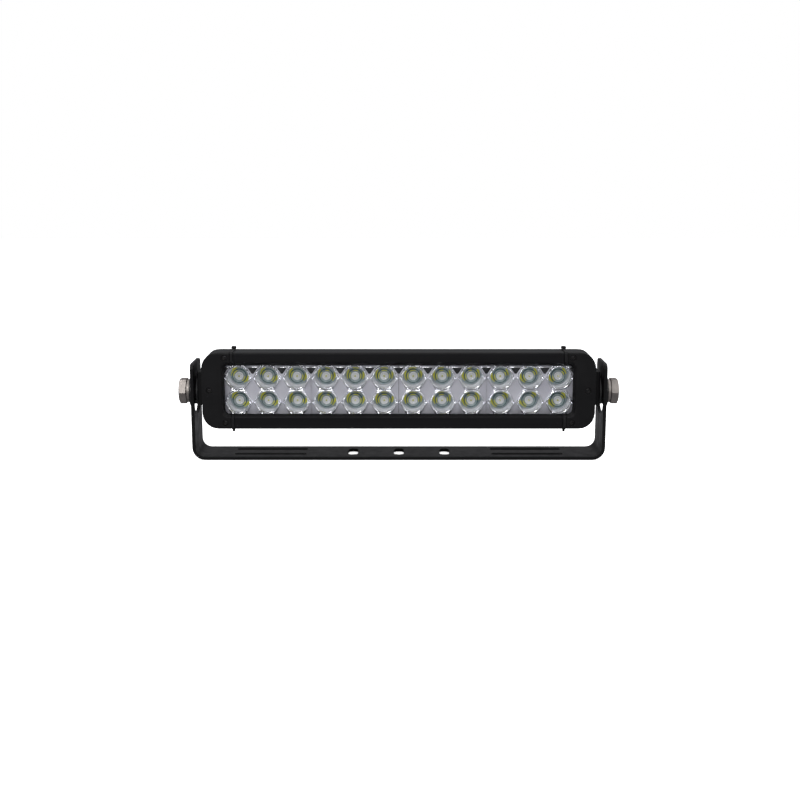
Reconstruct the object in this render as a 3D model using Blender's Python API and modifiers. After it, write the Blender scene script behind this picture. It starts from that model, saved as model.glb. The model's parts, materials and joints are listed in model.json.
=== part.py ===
"""LED light bar: a sealed two-row lamp that tilts between the arms of a U bracket.

Metres, +Z up. The lamp shines towards -Y. The origin lies under the middle of the whole
light bar, level with the underside of the bracket, and the two pivot bolts share an axis along X.
"""

import math

import bmesh
import bpy
from mathutils import Matrix, Vector

MM = 0.001

# ---------------------------------------------------------------- driving dimensions

LED_PITCH = 25.0 * MM
ROW_PITCH = 21.2 * MM
LED_COLUMNS = 12
LED_ROWS = 2
MODULE_COLUMNS = 3

GAP = 0.3 * MM                  # between pieces that touch on the real light bar
WALL = 3.0 * MM
FACE_WALL = 5.0 * MM            # front wall, from the face to the lens seal
FACE_BAND = 9.4 * MM            # plain face above and below the window's chamfer
WINDOW_CHAMFER = 2.4 * MM       # how far the window flares out towards the face
CHAMFER_DEPTH = 3.0 * MM
WINDOW_LAP = 2.0 * MM           # how far the window's ends cover the reflectors
WINDOW_RADIUS = 4.3 * MM
WINDOW_REACH = 5.2 * MM         # length of window inside each end cap
WINDOW_RISE = 0.8 * MM          # the window sits a little above mid height
OPTICS_DROP = 1.0 * MM          # and the LEDs a little below it

TOP_DEPTH = 21.0 * MM           # depth of the flat top, before it slopes down to the rear
SHOULDER_DEPTH = 27.0 * MM      # depth of the front chamber, to the back of its web
TUNNEL_DEPTH = 22.0 * MM        # from the shoulder to the outside of the rear wall
FIN_HEIGHT = 11.0 * MM
FIN_THICKNESS = 1.9 * MM
REAR_FIN_PITCH = 5.3 * MM
REAR_FIN_STEPS = 3
CAP_REAR_HEIGHT = 38.0 * MM
EDGE = 1.0 * MM

CAP_WIDTH = 24.2 * MM
CAP_RADIUS = 14.0 * MM
GASKET_THICKNESS = 2.5 * MM
GASKET_PROUD = 0.5 * MM
EAR_WIDTH = 4.4 * MM
EAR_HEIGHT = 2.6 * MM
NIB_HEIGHT = 2.8 * MM

LENS_THICKNESS = 3.0 * MM
LENS_MARGIN = 3.5 * MM
SEAL_THICKNESS = 0.9 * MM
REFLECTOR_DEPTH = 10.5 * MM
CUP_RADIUS = 10.3 * MM
BOARD_THICKNESS = 1.6 * MM
BOARD_HEIGHT = 57.6 * MM
THERMAL_PAD = 0.9 * MM
EMITTER_RADIUS = 3.9 * MM
DOME_RADIUS = 3.2 * MM

BAR_THICKNESS = 3.0 * MM
BAR_WIDTH = 40.0 * MM
BEND_RADIUS = 8.0 * MM
ARM_CORNER = 5.0 * MM
ARM_ABOVE_PIVOT = 26.4 * MM
GROUND_GAP = 26.0 * MM          # from the bracket's base up to the lamp
PIVOT_DROP = 4.6 * MM           # pivot below the lamp's mid height
PIVOT_SETBACK = 27.0 * MM       # pivot behind the lamp's face

SLOT_PITCH = 40.0 * MM
SLOT_WIDTH = 8.5 * MM
SLOT_LENGTH = 22.0 * MM
GROOVE_INNER = 80.0 * MM
GROOVE_OUTER = 143.0 * MM
GROOVE_WIDTH = 6.0 * MM
GROOVE_DEPTH = 1.5 * MM
GROOVE_OFFSET = 9.0 * MM
ARC_WIDTH = 8.0 * MM
ARC_REACH = math.radians(50)

BOLT_RADIUS = 6.0 * MM
BOLT_FLATS = 18.0 * MM
BOLT_HEAD = 6.4 * MM
BOLT_LENGTH = 19.0 * MM
BOLT_CLEARANCE = 0.3 * MM
ARM_HOLE_CLEARANCE = 0.5 * MM
WASHER_RADIUS = 13.5 * MM
WASHER_THICKNESS = 2.4 * MM
SPRING_WASHER_RADIUS = 10.2 * MM
SPRING_WASHER_THICKNESS = 2.4 * MM
SPACER_RADIUS = 13.0 * MM
SPACER_THICKNESS = 1.7 * MM
PAD_THICKNESS = 5.7 * MM
PAD_HEIGHT = 29.3 * MM
PAD_DEPTH = 29.0 * MM
INSERT_RADIUS = 8.4 * MM
INSERT_LENGTH = 11.4 * MM

FACE_SCREW_EDGE = 6.0 * MM      # middle screw, from the cap's outer edge
FACE_SCREW_INSET = 19.4 * MM    # upper and lower screws, from the cap's outer edge
FACE_SCREW_MARGIN = 4.9 * MM    # upper and lower screws, from the cap's top and bottom
FACE_SCREW_HEAD = 2.0 * MM
FACE_SCREW_SHANK = 1.25 * MM
TIE_HEAD = 2.9 * MM
TIE_SHANK = 1.7 * MM
TIE_LENGTH = 38.0 * MM
BOARD_SCREW_HEAD = 2.3 * MM
BOARD_SCREW_SHANK = 1.25 * MM

DRIVER_LENGTH = 120.0 * MM
GLAND_X = 90.0 * MM
GLAND_RADIUS = 6.0 * MM
CABLE_RADIUS = 3.2 * MM
GLAND_LENGTH = 17.0 * MM
VENT_RADIUS = 7.5 * MM
LEAD_RADIUS = 0.8 * MM

# ---------------------------------------------------------------- sizes that follow

REFLECTOR_LENGTH = LED_COLUMNS * LED_PITCH
MODULES = LED_COLUMNS // MODULE_COLUMNS
MODULE_LENGTH = MODULE_COLUMNS * LED_PITCH
WINDOW_HALF = REFLECTOR_LENGTH / 2 - WINDOW_LAP
WINDOW_TOP = LED_ROWS * ROW_PITCH / 2
BODY_TOP = WINDOW_TOP + WINDOW_CHAMFER + FACE_BAND
CAP_INNER = WINDOW_HALF - WINDOW_REACH
CAP_OUTER = CAP_INNER + CAP_WIDTH
HOUSING_HALF = CAP_INNER - GASKET_THICKNESS - 2 * GAP
CHAMBER_TOP = BODY_TOP - WALL

SEAL_FRONT = FACE_WALL + GAP
LENS_FRONT = SEAL_FRONT + SEAL_THICKNESS + GAP
LENS_BACK = LENS_FRONT + LENS_THICKNESS
REFLECTOR_FRONT = LENS_BACK + GAP
REFLECTOR_BACK = REFLECTOR_FRONT + REFLECTOR_DEPTH
WEB_FRONT = SHOULDER_DEPTH - WALL
PAD_FRONT = WEB_FRONT - GAP - THERMAL_PAD
BOARD_FRONT = PAD_FRONT - GAP - BOARD_THICKNESS
REAR_WALL = SHOULDER_DEPTH + TUNNEL_DEPTH
MILLED_WALL = REAR_WALL - 0.3 * MM
FIN_TIP = REAR_WALL + FIN_HEIGHT
TUNNEL_TOP = REAR_FIN_STEPS * REAR_FIN_PITCH + FIN_THICKNESS / 2
TUNNEL_INNER_TOP = TUNNEL_TOP - 2.5 * MM
TUNNEL_BACK = REAR_WALL - 2.5 * MM
LENS_HALF = REFLECTOR_LENGTH / 2 + LENS_MARGIN
LENS_TOP = WINDOW_TOP + LENS_MARGIN + 0.3 * MM
REFLECTOR_TOP = WINDOW_TOP + 1.3 * MM
REFLECTOR_BOTTOM = REFLECTOR_TOP + OPTICS_DROP
GLAND_BACK = REAR_WALL + GLAND_LENGTH

FRONT_Y = (GASKET_PROUD - GLAND_BACK) / 2
PIVOT_Y = FRONT_Y + PIVOT_SETBACK
BODY_Z = BAR_THICKNESS + GROUND_GAP + BODY_TOP
PIVOT_Z = BODY_Z - PIVOT_DROP
PAD_OUTER = CAP_OUTER + PAD_THICKNESS
SPACER_INNER = PAD_OUTER + GAP
ARM_INNER = SPACER_INNER + SPACER_THICKNESS + GAP
ARM_OUTER = ARM_INNER + BAR_THICKNESS
ARM_TOP = PIVOT_Z + ARM_ABOVE_PIVOT
WASHER_INNER = ARM_OUTER + GAP
SPRING_INNER = WASHER_INNER + WASHER_THICKNESS + GAP
HEAD_INNER = SPRING_INNER + SPRING_WASHER_THICKNESS + GAP
ARC_RADIUS = max(15.5 * MM, WASHER_RADIUS + 2.0 * MM)
BOLT_HOLE = BOLT_RADIUS + BOLT_CLEARANCE

PORT_DEPTH = SHOULDER_DEPTH + 3.2 * MM
PORT_LEVEL = TUNNEL_TOP + 2.8 * MM
FACE_SCREW_LEVEL = BODY_TOP - FACE_SCREW_MARGIN
CLAMP_BACK = REFLECTOR_FRONT + 5.5 * MM

LEFT = -1
RIGHT = 1
SIDES = ((LEFT, "left"), (RIGHT, "right"))

# Turned pieces are drawn along +Z and then aimed.
FACE_FRONT = Matrix.Rotation(math.pi / 2, 4, "X")
FACE_REAR = Matrix.Rotation(-math.pi / 2, 4, "X")
# Flat outlines are drawn in local X and Y, and extruded along local Z.
ALONG_X = Matrix(((0, 0, 1, 0), (1, 0, 0, 0), (0, 1, 0, 0), (0, 0, 0, 1)))
ALONG_Y = Matrix.Rotation(math.pi / 2, 4, "X")
ALONG_Z = Matrix.Identity(4)


def outward(side):
    """Aim a turned piece's +Z away from the lamp, at the left or right end."""
    return Matrix.Rotation(side * math.pi / 2, 4, "Y")


def at(x, depth, level):
    """World position of a point of the lamp: depth behind its face, level above its middle."""
    return Vector((x, FRONT_Y + depth, BODY_Z + level))


# ---------------------------------------------------------------- scene and materials

for old in list(bpy.data.objects):
    bpy.data.objects.remove(old, do_unlink=True)

parts = bpy.data.collections.new("led_light_bar")
cutters = bpy.data.collections.new("cutters")
bpy.context.scene.collection.children.link(parts)
bpy.context.scene.collection.children.link(cutters)


def material(name, colour, roughness, metallic=0.0, alpha=1.0):
    made = bpy.data.materials.new(name)
    made.use_nodes = True
    shader = made.node_tree.nodes["Principled BSDF"]
    shader.inputs["Base Color"].default_value = (*colour, 1.0)
    shader.inputs["Roughness"].default_value = roughness
    shader.inputs["Metallic"].default_value = metallic
    shader.inputs["Alpha"].default_value = alpha
    made.diffuse_color = (*colour, alpha)
    return made


POWDER_BLACK = ((0.012, 0.012, 0.013), 0.5, 0.0)
ANODISED_BLACK = ((0.015, 0.015, 0.017), 0.4, 0.6)
RUBBER_BLACK = ((0.01, 0.01, 0.01), 0.75, 0.0)
NYLON_BLACK = ((0.014, 0.014, 0.015), 0.5, 0.0)
STAINLESS = ((0.55, 0.52, 0.49), 0.35, 1.0)
BLACK_ZINC = ((0.02, 0.02, 0.02), 0.35, 0.8)
CHROME = ((0.85, 0.86, 0.88), 0.08, 1.0)
CLEAR = ((0.95, 0.97, 0.98), 0.03, 0.0, 0.3)
WHITE_BOARD = ((0.8, 0.8, 0.78), 0.5, 0.0)
GREEN_BOARD = ((0.02, 0.2, 0.06), 0.5, 0.0)
GREY_PAD = ((0.35, 0.36, 0.38), 0.8, 0.0)
COPPER_COIL = ((0.6, 0.3, 0.12), 0.35, 0.9)
CAN = ((0.15, 0.2, 0.35), 0.4, 0.3)
LEAD_RED = ((0.5, 0.02, 0.02), 0.5, 0.0)


# ---------------------------------------------------------------- making meshes

def tidy(mesh, angle=30):
    """Shade round faces smooth, and keep the real edges sharp."""
    mesh.shade_smooth()
    mesh.set_sharp_from_angle(angle=math.radians(angle))
    return mesh


def evaluated(obj):
    """Replace an object by the plain mesh that it evaluates to."""
    bpy.context.view_layer.update()
    depsgraph = bpy.context.evaluated_depsgraph_get()
    mesh = bpy.data.meshes.new_from_object(obj.evaluated_get(depsgraph))
    mesh.transform(obj.matrix_world)
    bpy.data.objects.remove(obj, do_unlink=True)
    work = bmesh.new()
    work.from_mesh(mesh)
    bmesh.ops.remove_doubles(work, verts=work.verts, dist=1e-6)
    bmesh.ops.recalc_face_normals(work, faces=work.faces)
    work.to_mesh(mesh)
    work.free()
    return tidy(mesh)


def joined(pieces):
    """One mesh that holds separate copies: pieces are (mesh, matrix) pairs."""
    work = bmesh.new()
    for mesh, matrix in pieces:
        copy = mesh.copy()
        copy.transform(matrix)
        work.from_mesh(copy)
        bpy.data.meshes.remove(copy)
    mesh = bpy.data.meshes.new("joined")
    work.to_mesh(mesh)
    work.free()
    return tidy(mesh)


def block(low, high, round_edges=0.0, segments=2):
    """A box between two corners, with rounded edges if asked for."""
    low = Vector(low)
    high = Vector(high)
    work = bmesh.new()
    bmesh.ops.create_cube(work, size=1.0)
    bmesh.ops.scale(work, vec=high - low, verts=work.verts)
    bmesh.ops.translate(work, vec=(low + high) / 2, verts=work.verts)
    if round_edges:
        bmesh.ops.bevel(work, geom=work.edges[:], offset=round_edges, segments=segments,
                        profile=0.5, affect="EDGES")
    mesh = bpy.data.meshes.new("block")
    work.to_mesh(mesh)
    work.free()
    return tidy(mesh)


def sided_block(side, x_from, x_to, low, high, round_edges=0.0):
    """A box at one end of the lamp: x runs outwards, low and high are (depth, level)."""
    near = at(side * x_from, *low)
    far = at(side * x_to, *high)
    return block([min(a, b) for a, b in zip(near, far)],
                 [max(a, b) for a, b in zip(near, far)], round_edges)


def cylinder(radius, length, sides=16):
    """A cylinder or hexagonal prism on the +Z axis, standing on the origin."""
    work = bmesh.new()
    bmesh.ops.create_cone(work, cap_ends=True, segments=sides, radius1=radius, radius2=radius,
                          depth=length)
    bmesh.ops.translate(work, vec=(0, 0, length / 2), verts=work.verts)
    mesh = bpy.data.meshes.new("cylinder")
    work.to_mesh(mesh)
    work.free()
    return tidy(mesh)


def turned(profile, closed=False, sides=16):
    """Revolve (radius, height) points about Z; they run down the outer side, top to bottom."""
    mesh = bpy.data.meshes.new("profile")
    count = len(profile)
    edges = [(i, i + 1) for i in range(count - 1)]
    if closed:
        edges.append((count - 1, 0))
    mesh.from_pydata([(radius, 0, height) for radius, height in profile], edges, [])
    obj = bpy.data.objects.new("profile", mesh)
    parts.objects.link(obj)
    screw = obj.modifiers.new("turn", "SCREW")
    screw.steps = sides
    screw.render_steps = sides
    screw.use_merge_vertices = True
    screw.merge_threshold = 1e-6
    return evaluated(obj)


def ring(inner, outer, height, sides=18):
    """A plain ring that stands on the origin."""
    return turned([(inner, height), (outer, height), (outer, 0), (inner, 0)], True, sides)


def arc(centre, radius, start, end, steps):
    """Points on an arc, angles in radians."""
    return [(centre[0] + radius * math.cos(start + (end - start) * i / steps),
             centre[1] + radius * math.sin(start + (end - start) * i / steps))
            for i in range(steps + 1)]


def rounded_rectangle(low, high, radius, steps=4):
    """Outline of a rectangle with four round corners."""
    corners = ((high[0], high[1], 0), (low[0], high[1], 1), (low[0], low[1], 2), (high[0], low[1], 3))
    points = []
    for x, y, quarter in corners:
        centre = (x - math.copysign(radius, x - low[0] - radius),
                  y - math.copysign(radius, y - low[1] - radius))
        start = quarter * math.pi / 2
        points += arc(centre, radius, start, start + math.pi / 2, steps)
    return points


def mirrored(half):
    """Close an outline that is drawn above the X axis with its reflection below it."""
    return half + [(x, -y) for x, y in reversed(half)]


def flat(outlines, middle, thickness, axis):
    """Flat outlines (the first outside, the rest holes) extruded about a middle plane."""
    curve = bpy.data.curves.new("outline", "CURVE")
    curve.dimensions = "2D"
    curve.fill_mode = "BOTH"
    curve.extrude = thickness / 2
    for outline in outlines:
        spline = curve.splines.new("POLY")
        spline.points.add(len(outline) - 1)
        spline.use_cyclic_u = True
        for point, (x, y) in zip(spline.points, outline):
            point.co = (x, y, 0, 1)
    obj = bpy.data.objects.new("outline", curve)
    parts.objects.link(obj)
    obj.matrix_world = Matrix.Translation(middle) @ axis
    return evaluated(obj)


def wire(points, radius):
    """A round wire through hand-chosen points, on a smooth curve."""
    route = [points[0]] + points + [points[-1]]
    smooth = []
    for i in range(1, len(route) - 2):
        before, start, end, after = route[i - 1:i + 3]
        for step in range(3):
            t = step / 3
            smooth.append(0.5 * (2 * start + (end - before) * t
                                 + (2 * before - 5 * start + 4 * end - after) * t ** 2
                                 + (3 * start - before - 3 * end + after) * t ** 3))
    smooth.append(points[-1])
    curve = bpy.data.curves.new("wire", "CURVE")
    curve.dimensions = "3D"
    curve.bevel_depth = radius
    curve.bevel_resolution = 2
    curve.use_fill_caps = True
    spline = curve.splines.new("POLY")
    spline.points.add(len(smooth) - 1)
    for point, place in zip(spline.points, smooth):
        point.co = (*place, 1)
    obj = bpy.data.objects.new("wire", curve)
    parts.objects.link(obj)
    return evaluated(obj)


# ---------------------------------------------------------------- pieces and Booleans

pivot = bpy.data.objects.new("lamp_pivot", None)
pivot.location = (0, PIVOT_Y, PIVOT_Z)
parts.objects.link(pivot)
bpy.context.view_layer.update()


def hang_on_pivot(obj):
    """Make an object turn with the lamp, about the pivot bolts."""
    obj.parent = pivot
    obj.matrix_parent_inverse = pivot.matrix_world.inverted()


def piece(name, mesh, finish, moves=True):
    """A named sub-part with a material of its own."""
    mesh.name = name
    mesh.materials.clear()
    mesh.materials.append(material(name, *finish))
    obj = bpy.data.objects.new(name, mesh)
    parts.objects.link(obj)
    if moves:
        hang_on_pivot(obj)
    return obj


def combine(obj, mesh, operation, label):
    """Add a Boolean with a hidden helper object that holds the mesh."""
    helper = bpy.data.objects.new(obj.name + "_" + label, mesh)
    helper.hide_render = True
    helper.display_type = "WIRE"
    cutters.objects.link(helper)
    if obj.parent:
        hang_on_pivot(helper)
    modifier = obj.modifiers.new(label, "BOOLEAN")
    modifier.operation = operation
    modifier.solver = "EXACT"
    modifier.object = helper


def cut(obj, mesh, label):
    combine(obj, mesh, "DIFFERENCE", label)


def unite(obj, mesh, label):
    combine(obj, mesh, "UNION", label)


def keep_within(obj, mesh, label):
    combine(obj, mesh, "INTERSECT", label)


# ---------------------------------------------------------------- bracket

def bracket():
    """Flat bar bent into a U, with slots in the base and a pivot hole and arc slot in each arm."""
    outer_bend = BEND_RADIUS + BAR_THICKNESS
    bend_x = ARM_INNER - BEND_RADIUS
    outline = [(ARM_OUTER, ARM_TOP), (ARM_INNER, ARM_TOP)]
    outline += arc((bend_x, outer_bend), BEND_RADIUS, 0, -math.pi / 2, 6)
    outline += arc((-bend_x, outer_bend), BEND_RADIUS, -math.pi / 2, -math.pi, 6)
    outline += [(-ARM_INNER, ARM_TOP), (-ARM_OUTER, ARM_TOP)]
    outline += arc((-bend_x, outer_bend), outer_bend, -math.pi, -math.pi / 2, 6)
    outline += arc((bend_x, outer_bend), outer_bend, -math.pi / 2, 0, 6)
    obj = piece("bracket", flat([outline], (0, PIVOT_Y, 0), BAR_WIDTH, ALONG_Y), POWDER_BLACK, False)

    half = BAR_WIDTH / 2
    arm = [(-half, -1 * MM), (half, -1 * MM)]
    arm += arc((half - ARM_CORNER, ARM_TOP - ARM_CORNER), ARM_CORNER, 0, math.pi / 2, 3)
    arm += arc((-half + ARM_CORNER, ARM_TOP - ARM_CORNER), ARM_CORNER, math.pi / 2, math.pi, 3)
    across = 2 * ARM_OUTER + 10 * MM
    keep_within(obj, flat([arm], (0, PIVOT_Y, 0), across, ALONG_X), "arm_corners")

    hole = cylinder(BOLT_RADIUS + ARM_HOLE_CLEARANCE, across)
    hole.transform(Matrix.Translation((-across / 2, PIVOT_Y, PIVOT_Z)) @ outward(RIGHT))
    cut(obj, hole, "pivot_holes")
    cut(obj, flat([arc_slot_outline()], (0, PIVOT_Y, PIVOT_Z), across, ALONG_X), "arc_slots")

    radius = SLOT_WIDTH / 2
    stadium = rounded_rectangle((-radius, -SLOT_LENGTH / 2), (radius, SLOT_LENGTH / 2), radius, 3)
    slots = [(flat([stadium], (x, PIVOT_Y, 0), 4 * BAR_THICKNESS, ALONG_Z), ALONG_Z)
             for x in (-SLOT_PITCH, 0, SLOT_PITCH)]
    cut(obj, joined(slots), "base_slots")

    groove = rounded_rectangle((GROOVE_INNER, -GROOVE_WIDTH / 2), (GROOVE_OUTER, GROOVE_WIDTH / 2),
                               GROOVE_WIDTH / 2, 2)
    grooves = []
    for turn in (0, math.pi):
        for offset in (-GROOVE_OFFSET, GROOVE_OFFSET):
            turned_over = Matrix.Translation((0, PIVOT_Y + offset, BAR_THICKNESS))
            turned_over @= Matrix.Rotation(turn, 4, "Z")
            grooves.append((flat([groove], (0, 0, 0), 2 * GROOVE_DEPTH, ALONG_Z), turned_over))
    cut(obj, joined(grooves), "base_grooves")


def arc_slot_outline():
    """Round-ended slot on an arc about the pivot, below it."""
    middle = -math.pi / 2
    radius = ARC_WIDTH / 2
    start = middle - ARC_REACH
    end = middle + ARC_REACH
    points = arc((0, 0), ARC_RADIUS + radius, start, end, 8)
    tip = (ARC_RADIUS * math.cos(end), ARC_RADIUS * math.sin(end))
    points += arc(tip, radius, end, end + math.pi, 4)[1:-1]
    points += arc((0, 0), ARC_RADIUS - radius, end, start, 6)
    tip = (ARC_RADIUS * math.cos(start), ARC_RADIUS * math.sin(start))
    points += arc(tip, radius, start + math.pi, start + 2 * math.pi, 4)[1:-1]
    return points


# ---------------------------------------------------------------- housing and ends

def window_cutter():
    """The window: a rounded rectangle that flares by a chamfer to the face."""
    deep = FACE_WALL + 1 * MM
    work = bmesh.new()
    bmesh.ops.create_cube(work, size=1.0)
    bmesh.ops.scale(work, vec=(2 * WINDOW_HALF, 1.0, 2 * WINDOW_TOP), verts=work.verts)
    corners = [edge for edge in work.edges if abs(edge.verts[0].co.y - edge.verts[1].co.y) > 0.5]
    bmesh.ops.bevel(work, geom=corners, offset=WINDOW_RADIUS, segments=5, profile=0.5, affect="EDGES")
    front = [vert for vert in work.verts if vert.co.y < 0]
    back = [vert for vert in work.verts if vert.co.y > 0]
    for vert in front:
        vert.co.y = CHAMFER_DEPTH
    for vert in back:
        vert.co.y = deep
    front_faces = [face for face in work.faces if all(vert in front for vert in face.verts)]
    grown = bmesh.ops.extrude_face_region(work, geom=front_faces)["geom"]
    bmesh.ops.delete(work, geom=front_faces, context="FACES_ONLY")
    ahead = CHAMFER_DEPTH + 1 * MM
    spread = ahead * WINDOW_CHAMFER / CHAMFER_DEPTH
    for vert in (item for item in grown if isinstance(item, bmesh.types.BMVert)):
        vert.co.y -= ahead
        vert.co.x *= (WINDOW_HALF + spread) / WINDOW_HALF
        vert.co.z *= (WINDOW_TOP + spread) / WINDOW_TOP
    bmesh.ops.translate(work, vec=at(0, 0, WINDOW_RISE), verts=work.verts)
    bmesh.ops.recalc_face_normals(work, faces=work.faces)
    mesh = bpy.data.meshes.new("window")
    work.to_mesh(mesh)
    work.free()
    return mesh


def housing_section():
    """Extruded section in depth and level: shoulder, web, finned rear tunnel with card grooves."""
    fin = FIN_THICKNESS / 2
    half = []
    for step in range(REAR_FIN_STEPS + 1):
        centre = step * REAR_FIN_PITCH
        if step:
            half += [(REAR_WALL, centre - fin), (FIN_TIP, centre - fin)]
        half.append((FIN_TIP, centre + fin))
        if step < REAR_FIN_STEPS:
            half.append((REAR_WALL, centre + fin))
    port_back = PORT_DEPTH + 2.8 * MM
    half.append((port_back, TUNNEL_TOP))
    for level in (PORT_LEVEL + 3.3 * MM, PORT_LEVEL + 8.0 * MM):
        tip = envelope_depth(level + fin) - 2 * MM
        base = port_back if level < PORT_LEVEL + 4 * MM else SHOULDER_DEPTH
        half += [(base, level - fin), (tip, level - fin), (tip, level + fin), (SHOULDER_DEPTH, level + fin)]
    half += [(SHOULDER_DEPTH, envelope_level(SHOULDER_DEPTH)), (TOP_DEPTH, BODY_TOP),
             (EDGE, BODY_TOP), (0, BODY_TOP - EDGE)]
    return mirrored(half)


def envelope_slope():
    """Depth gained for each step down, on the slope from the flat top to the rear."""
    return (FIN_TIP - TOP_DEPTH) / (BODY_TOP - CAP_REAR_HEIGHT / 2)


def envelope_depth(level):
    """How deep the end caps reach at a level: the slope starts where the flat top ends."""
    return min(FIN_TIP, TOP_DEPTH + (BODY_TOP - level) * envelope_slope())


def envelope_level(depth):
    """How high the slope is at a depth behind the flat top."""
    return BODY_TOP - (depth - TOP_DEPTH) / envelope_slope()


def gasket_profile():
    """A gasket's outside seen from the side: the end caps' outline, standing a little proud."""
    top = BODY_TOP + GASKET_PROUD
    half = [(FIN_TIP + GASKET_PROUD, CAP_REAR_HEIGHT / 2 + GASKET_PROUD), (TOP_DEPTH, top),
            (EDGE, top), (-GASKET_PROUD, BODY_TOP - EDGE)]
    return mirrored(half)


def cap_trim_profile():
    """The end caps' outline seen from the side; its slopes run on past the top, to trim it."""
    over = 2 * MM
    rear = CAP_REAR_HEIGHT / 2
    half = [(FIN_TIP, rear), (TOP_DEPTH - over * envelope_slope(), BODY_TOP + over),
            (EDGE + over, BODY_TOP + over), (0, BODY_TOP - EDGE)]
    return mirrored(half)


def chamber_outline():
    return rounded_rectangle((FACE_WALL, -CHAMBER_TOP), (WEB_FRONT, CHAMBER_TOP), 1.5 * MM, 2)


def tunnel_outline():
    """The rear tunnel, with a groove above and below that holds the driver board."""
    groove_top = TUNNEL_INNER_TOP + 1.3 * MM
    near = SHOULDER_DEPTH + 2.6 * MM
    far = near + BOARD_THICKNESS + 2 * GAP
    return mirrored([(SHOULDER_DEPTH, TUNNEL_INNER_TOP), (near, TUNNEL_INNER_TOP), (near, groove_top),
                     (far, groove_top), (far, TUNNEL_INNER_TOP), (TUNNEL_BACK, TUNNEL_INNER_TOP)])


def port_outlines():
    """Round ports for the tie screws."""
    radius = TIE_SHANK + GAP
    return [arc((PORT_DEPTH, sign * PORT_LEVEL), radius, 0, 2 * math.pi * 7 / 8, 7)
            for sign in (-1, 1)]


def board_screw_places(side):
    """A board's screws stand above and below the reflectors, at the middle of its length."""
    level = REFLECTOR_BOTTOM + GAP + BOARD_SCREW_HEAD
    x = side * REFLECTOR_LENGTH / 4
    return {"upper": (x, level), "lower": (x, -level)}


def rods(places, radius, depth_from, depth_to, sides=10):
    """Cylinders that run from one depth to another, at (x, level) places, as one mesh."""
    rod = cylinder(radius, depth_to - depth_from, sides)
    return joined([(rod, Matrix.Translation(at(x, depth_to, level)) @ FACE_FRONT) for x, level in places])


def housing():
    outlines = [housing_section(), chamber_outline(), tunnel_outline()] + port_outlines()
    obj = piece("housing", flat(outlines, at(0, 0, 0), 2 * HOUSING_HALF, ALONG_X), ANODISED_BLACK)
    cut(obj, window_cutter(), "window")
    flats = [(block(at(x - half, MILLED_WALL, -TUNNEL_TOP - 1 * MM),
                    at(x + half, FIN_TIP + 1 * MM, TUNNEL_TOP + 1 * MM)), ALONG_Z)
             for x, half in ((GLAND_X, 17 * MM), (-GLAND_X, 12 * MM))]
    cut(obj, joined(flats), "milled_flats")
    through = (TUNNEL_BACK - 1 * MM, REAR_WALL + 1 * MM)
    cut(obj, rods([(GLAND_X, 0)], GLAND_RADIUS + GAP, *through, 20), "gland_hole")
    cut(obj, rods([(-GLAND_X, 0)], VENT_RADIUS / 2 + GAP, *through, 16), "vent_hole")
    places = [*board_screw_places(LEFT).values(), *board_screw_places(RIGHT).values()]
    cut(obj, rods(places, BOARD_SCREW_SHANK + GAP, WEB_FRONT - 1 * MM, SHOULDER_DEPTH - 0.6 * MM, 8),
        "screw_holes")


def end_gasket(side, name):
    """Rubber seal between the housing and a cap, with an ear above and a nib below."""
    middle = at(side * (HOUSING_HALF + GAP + GASKET_THICKNESS / 2), 0, 0)
    outlines = [gasket_profile(), chamber_outline(), tunnel_outline()] + port_outlines()
    obj = piece("end_gasket_" + name, flat(outlines, middle, GASKET_THICKNESS, ALONG_X), RUBBER_BLACK)
    cut(obj, window_cutter(), "window")
    x = HOUSING_HALF + GAP + GASKET_THICKNESS / 2
    top = BODY_TOP + GAP
    unite(obj, sided_block(side, x - EAR_WIDTH / 2, x + EAR_WIDTH / 2, (TOP_DEPTH - 4.0 * MM, top),
                           (TOP_DEPTH - 0.8 * MM, top + EAR_HEIGHT), 0.8 * MM), "ear")
    unite(obj, sided_block(side, x - 1.0 * MM, x + 1.0 * MM, (4 * MM, -top - NIB_HEIGHT),
                           (7 * MM, -top + 1 * MM), 0.5 * MM), "nib")


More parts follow.
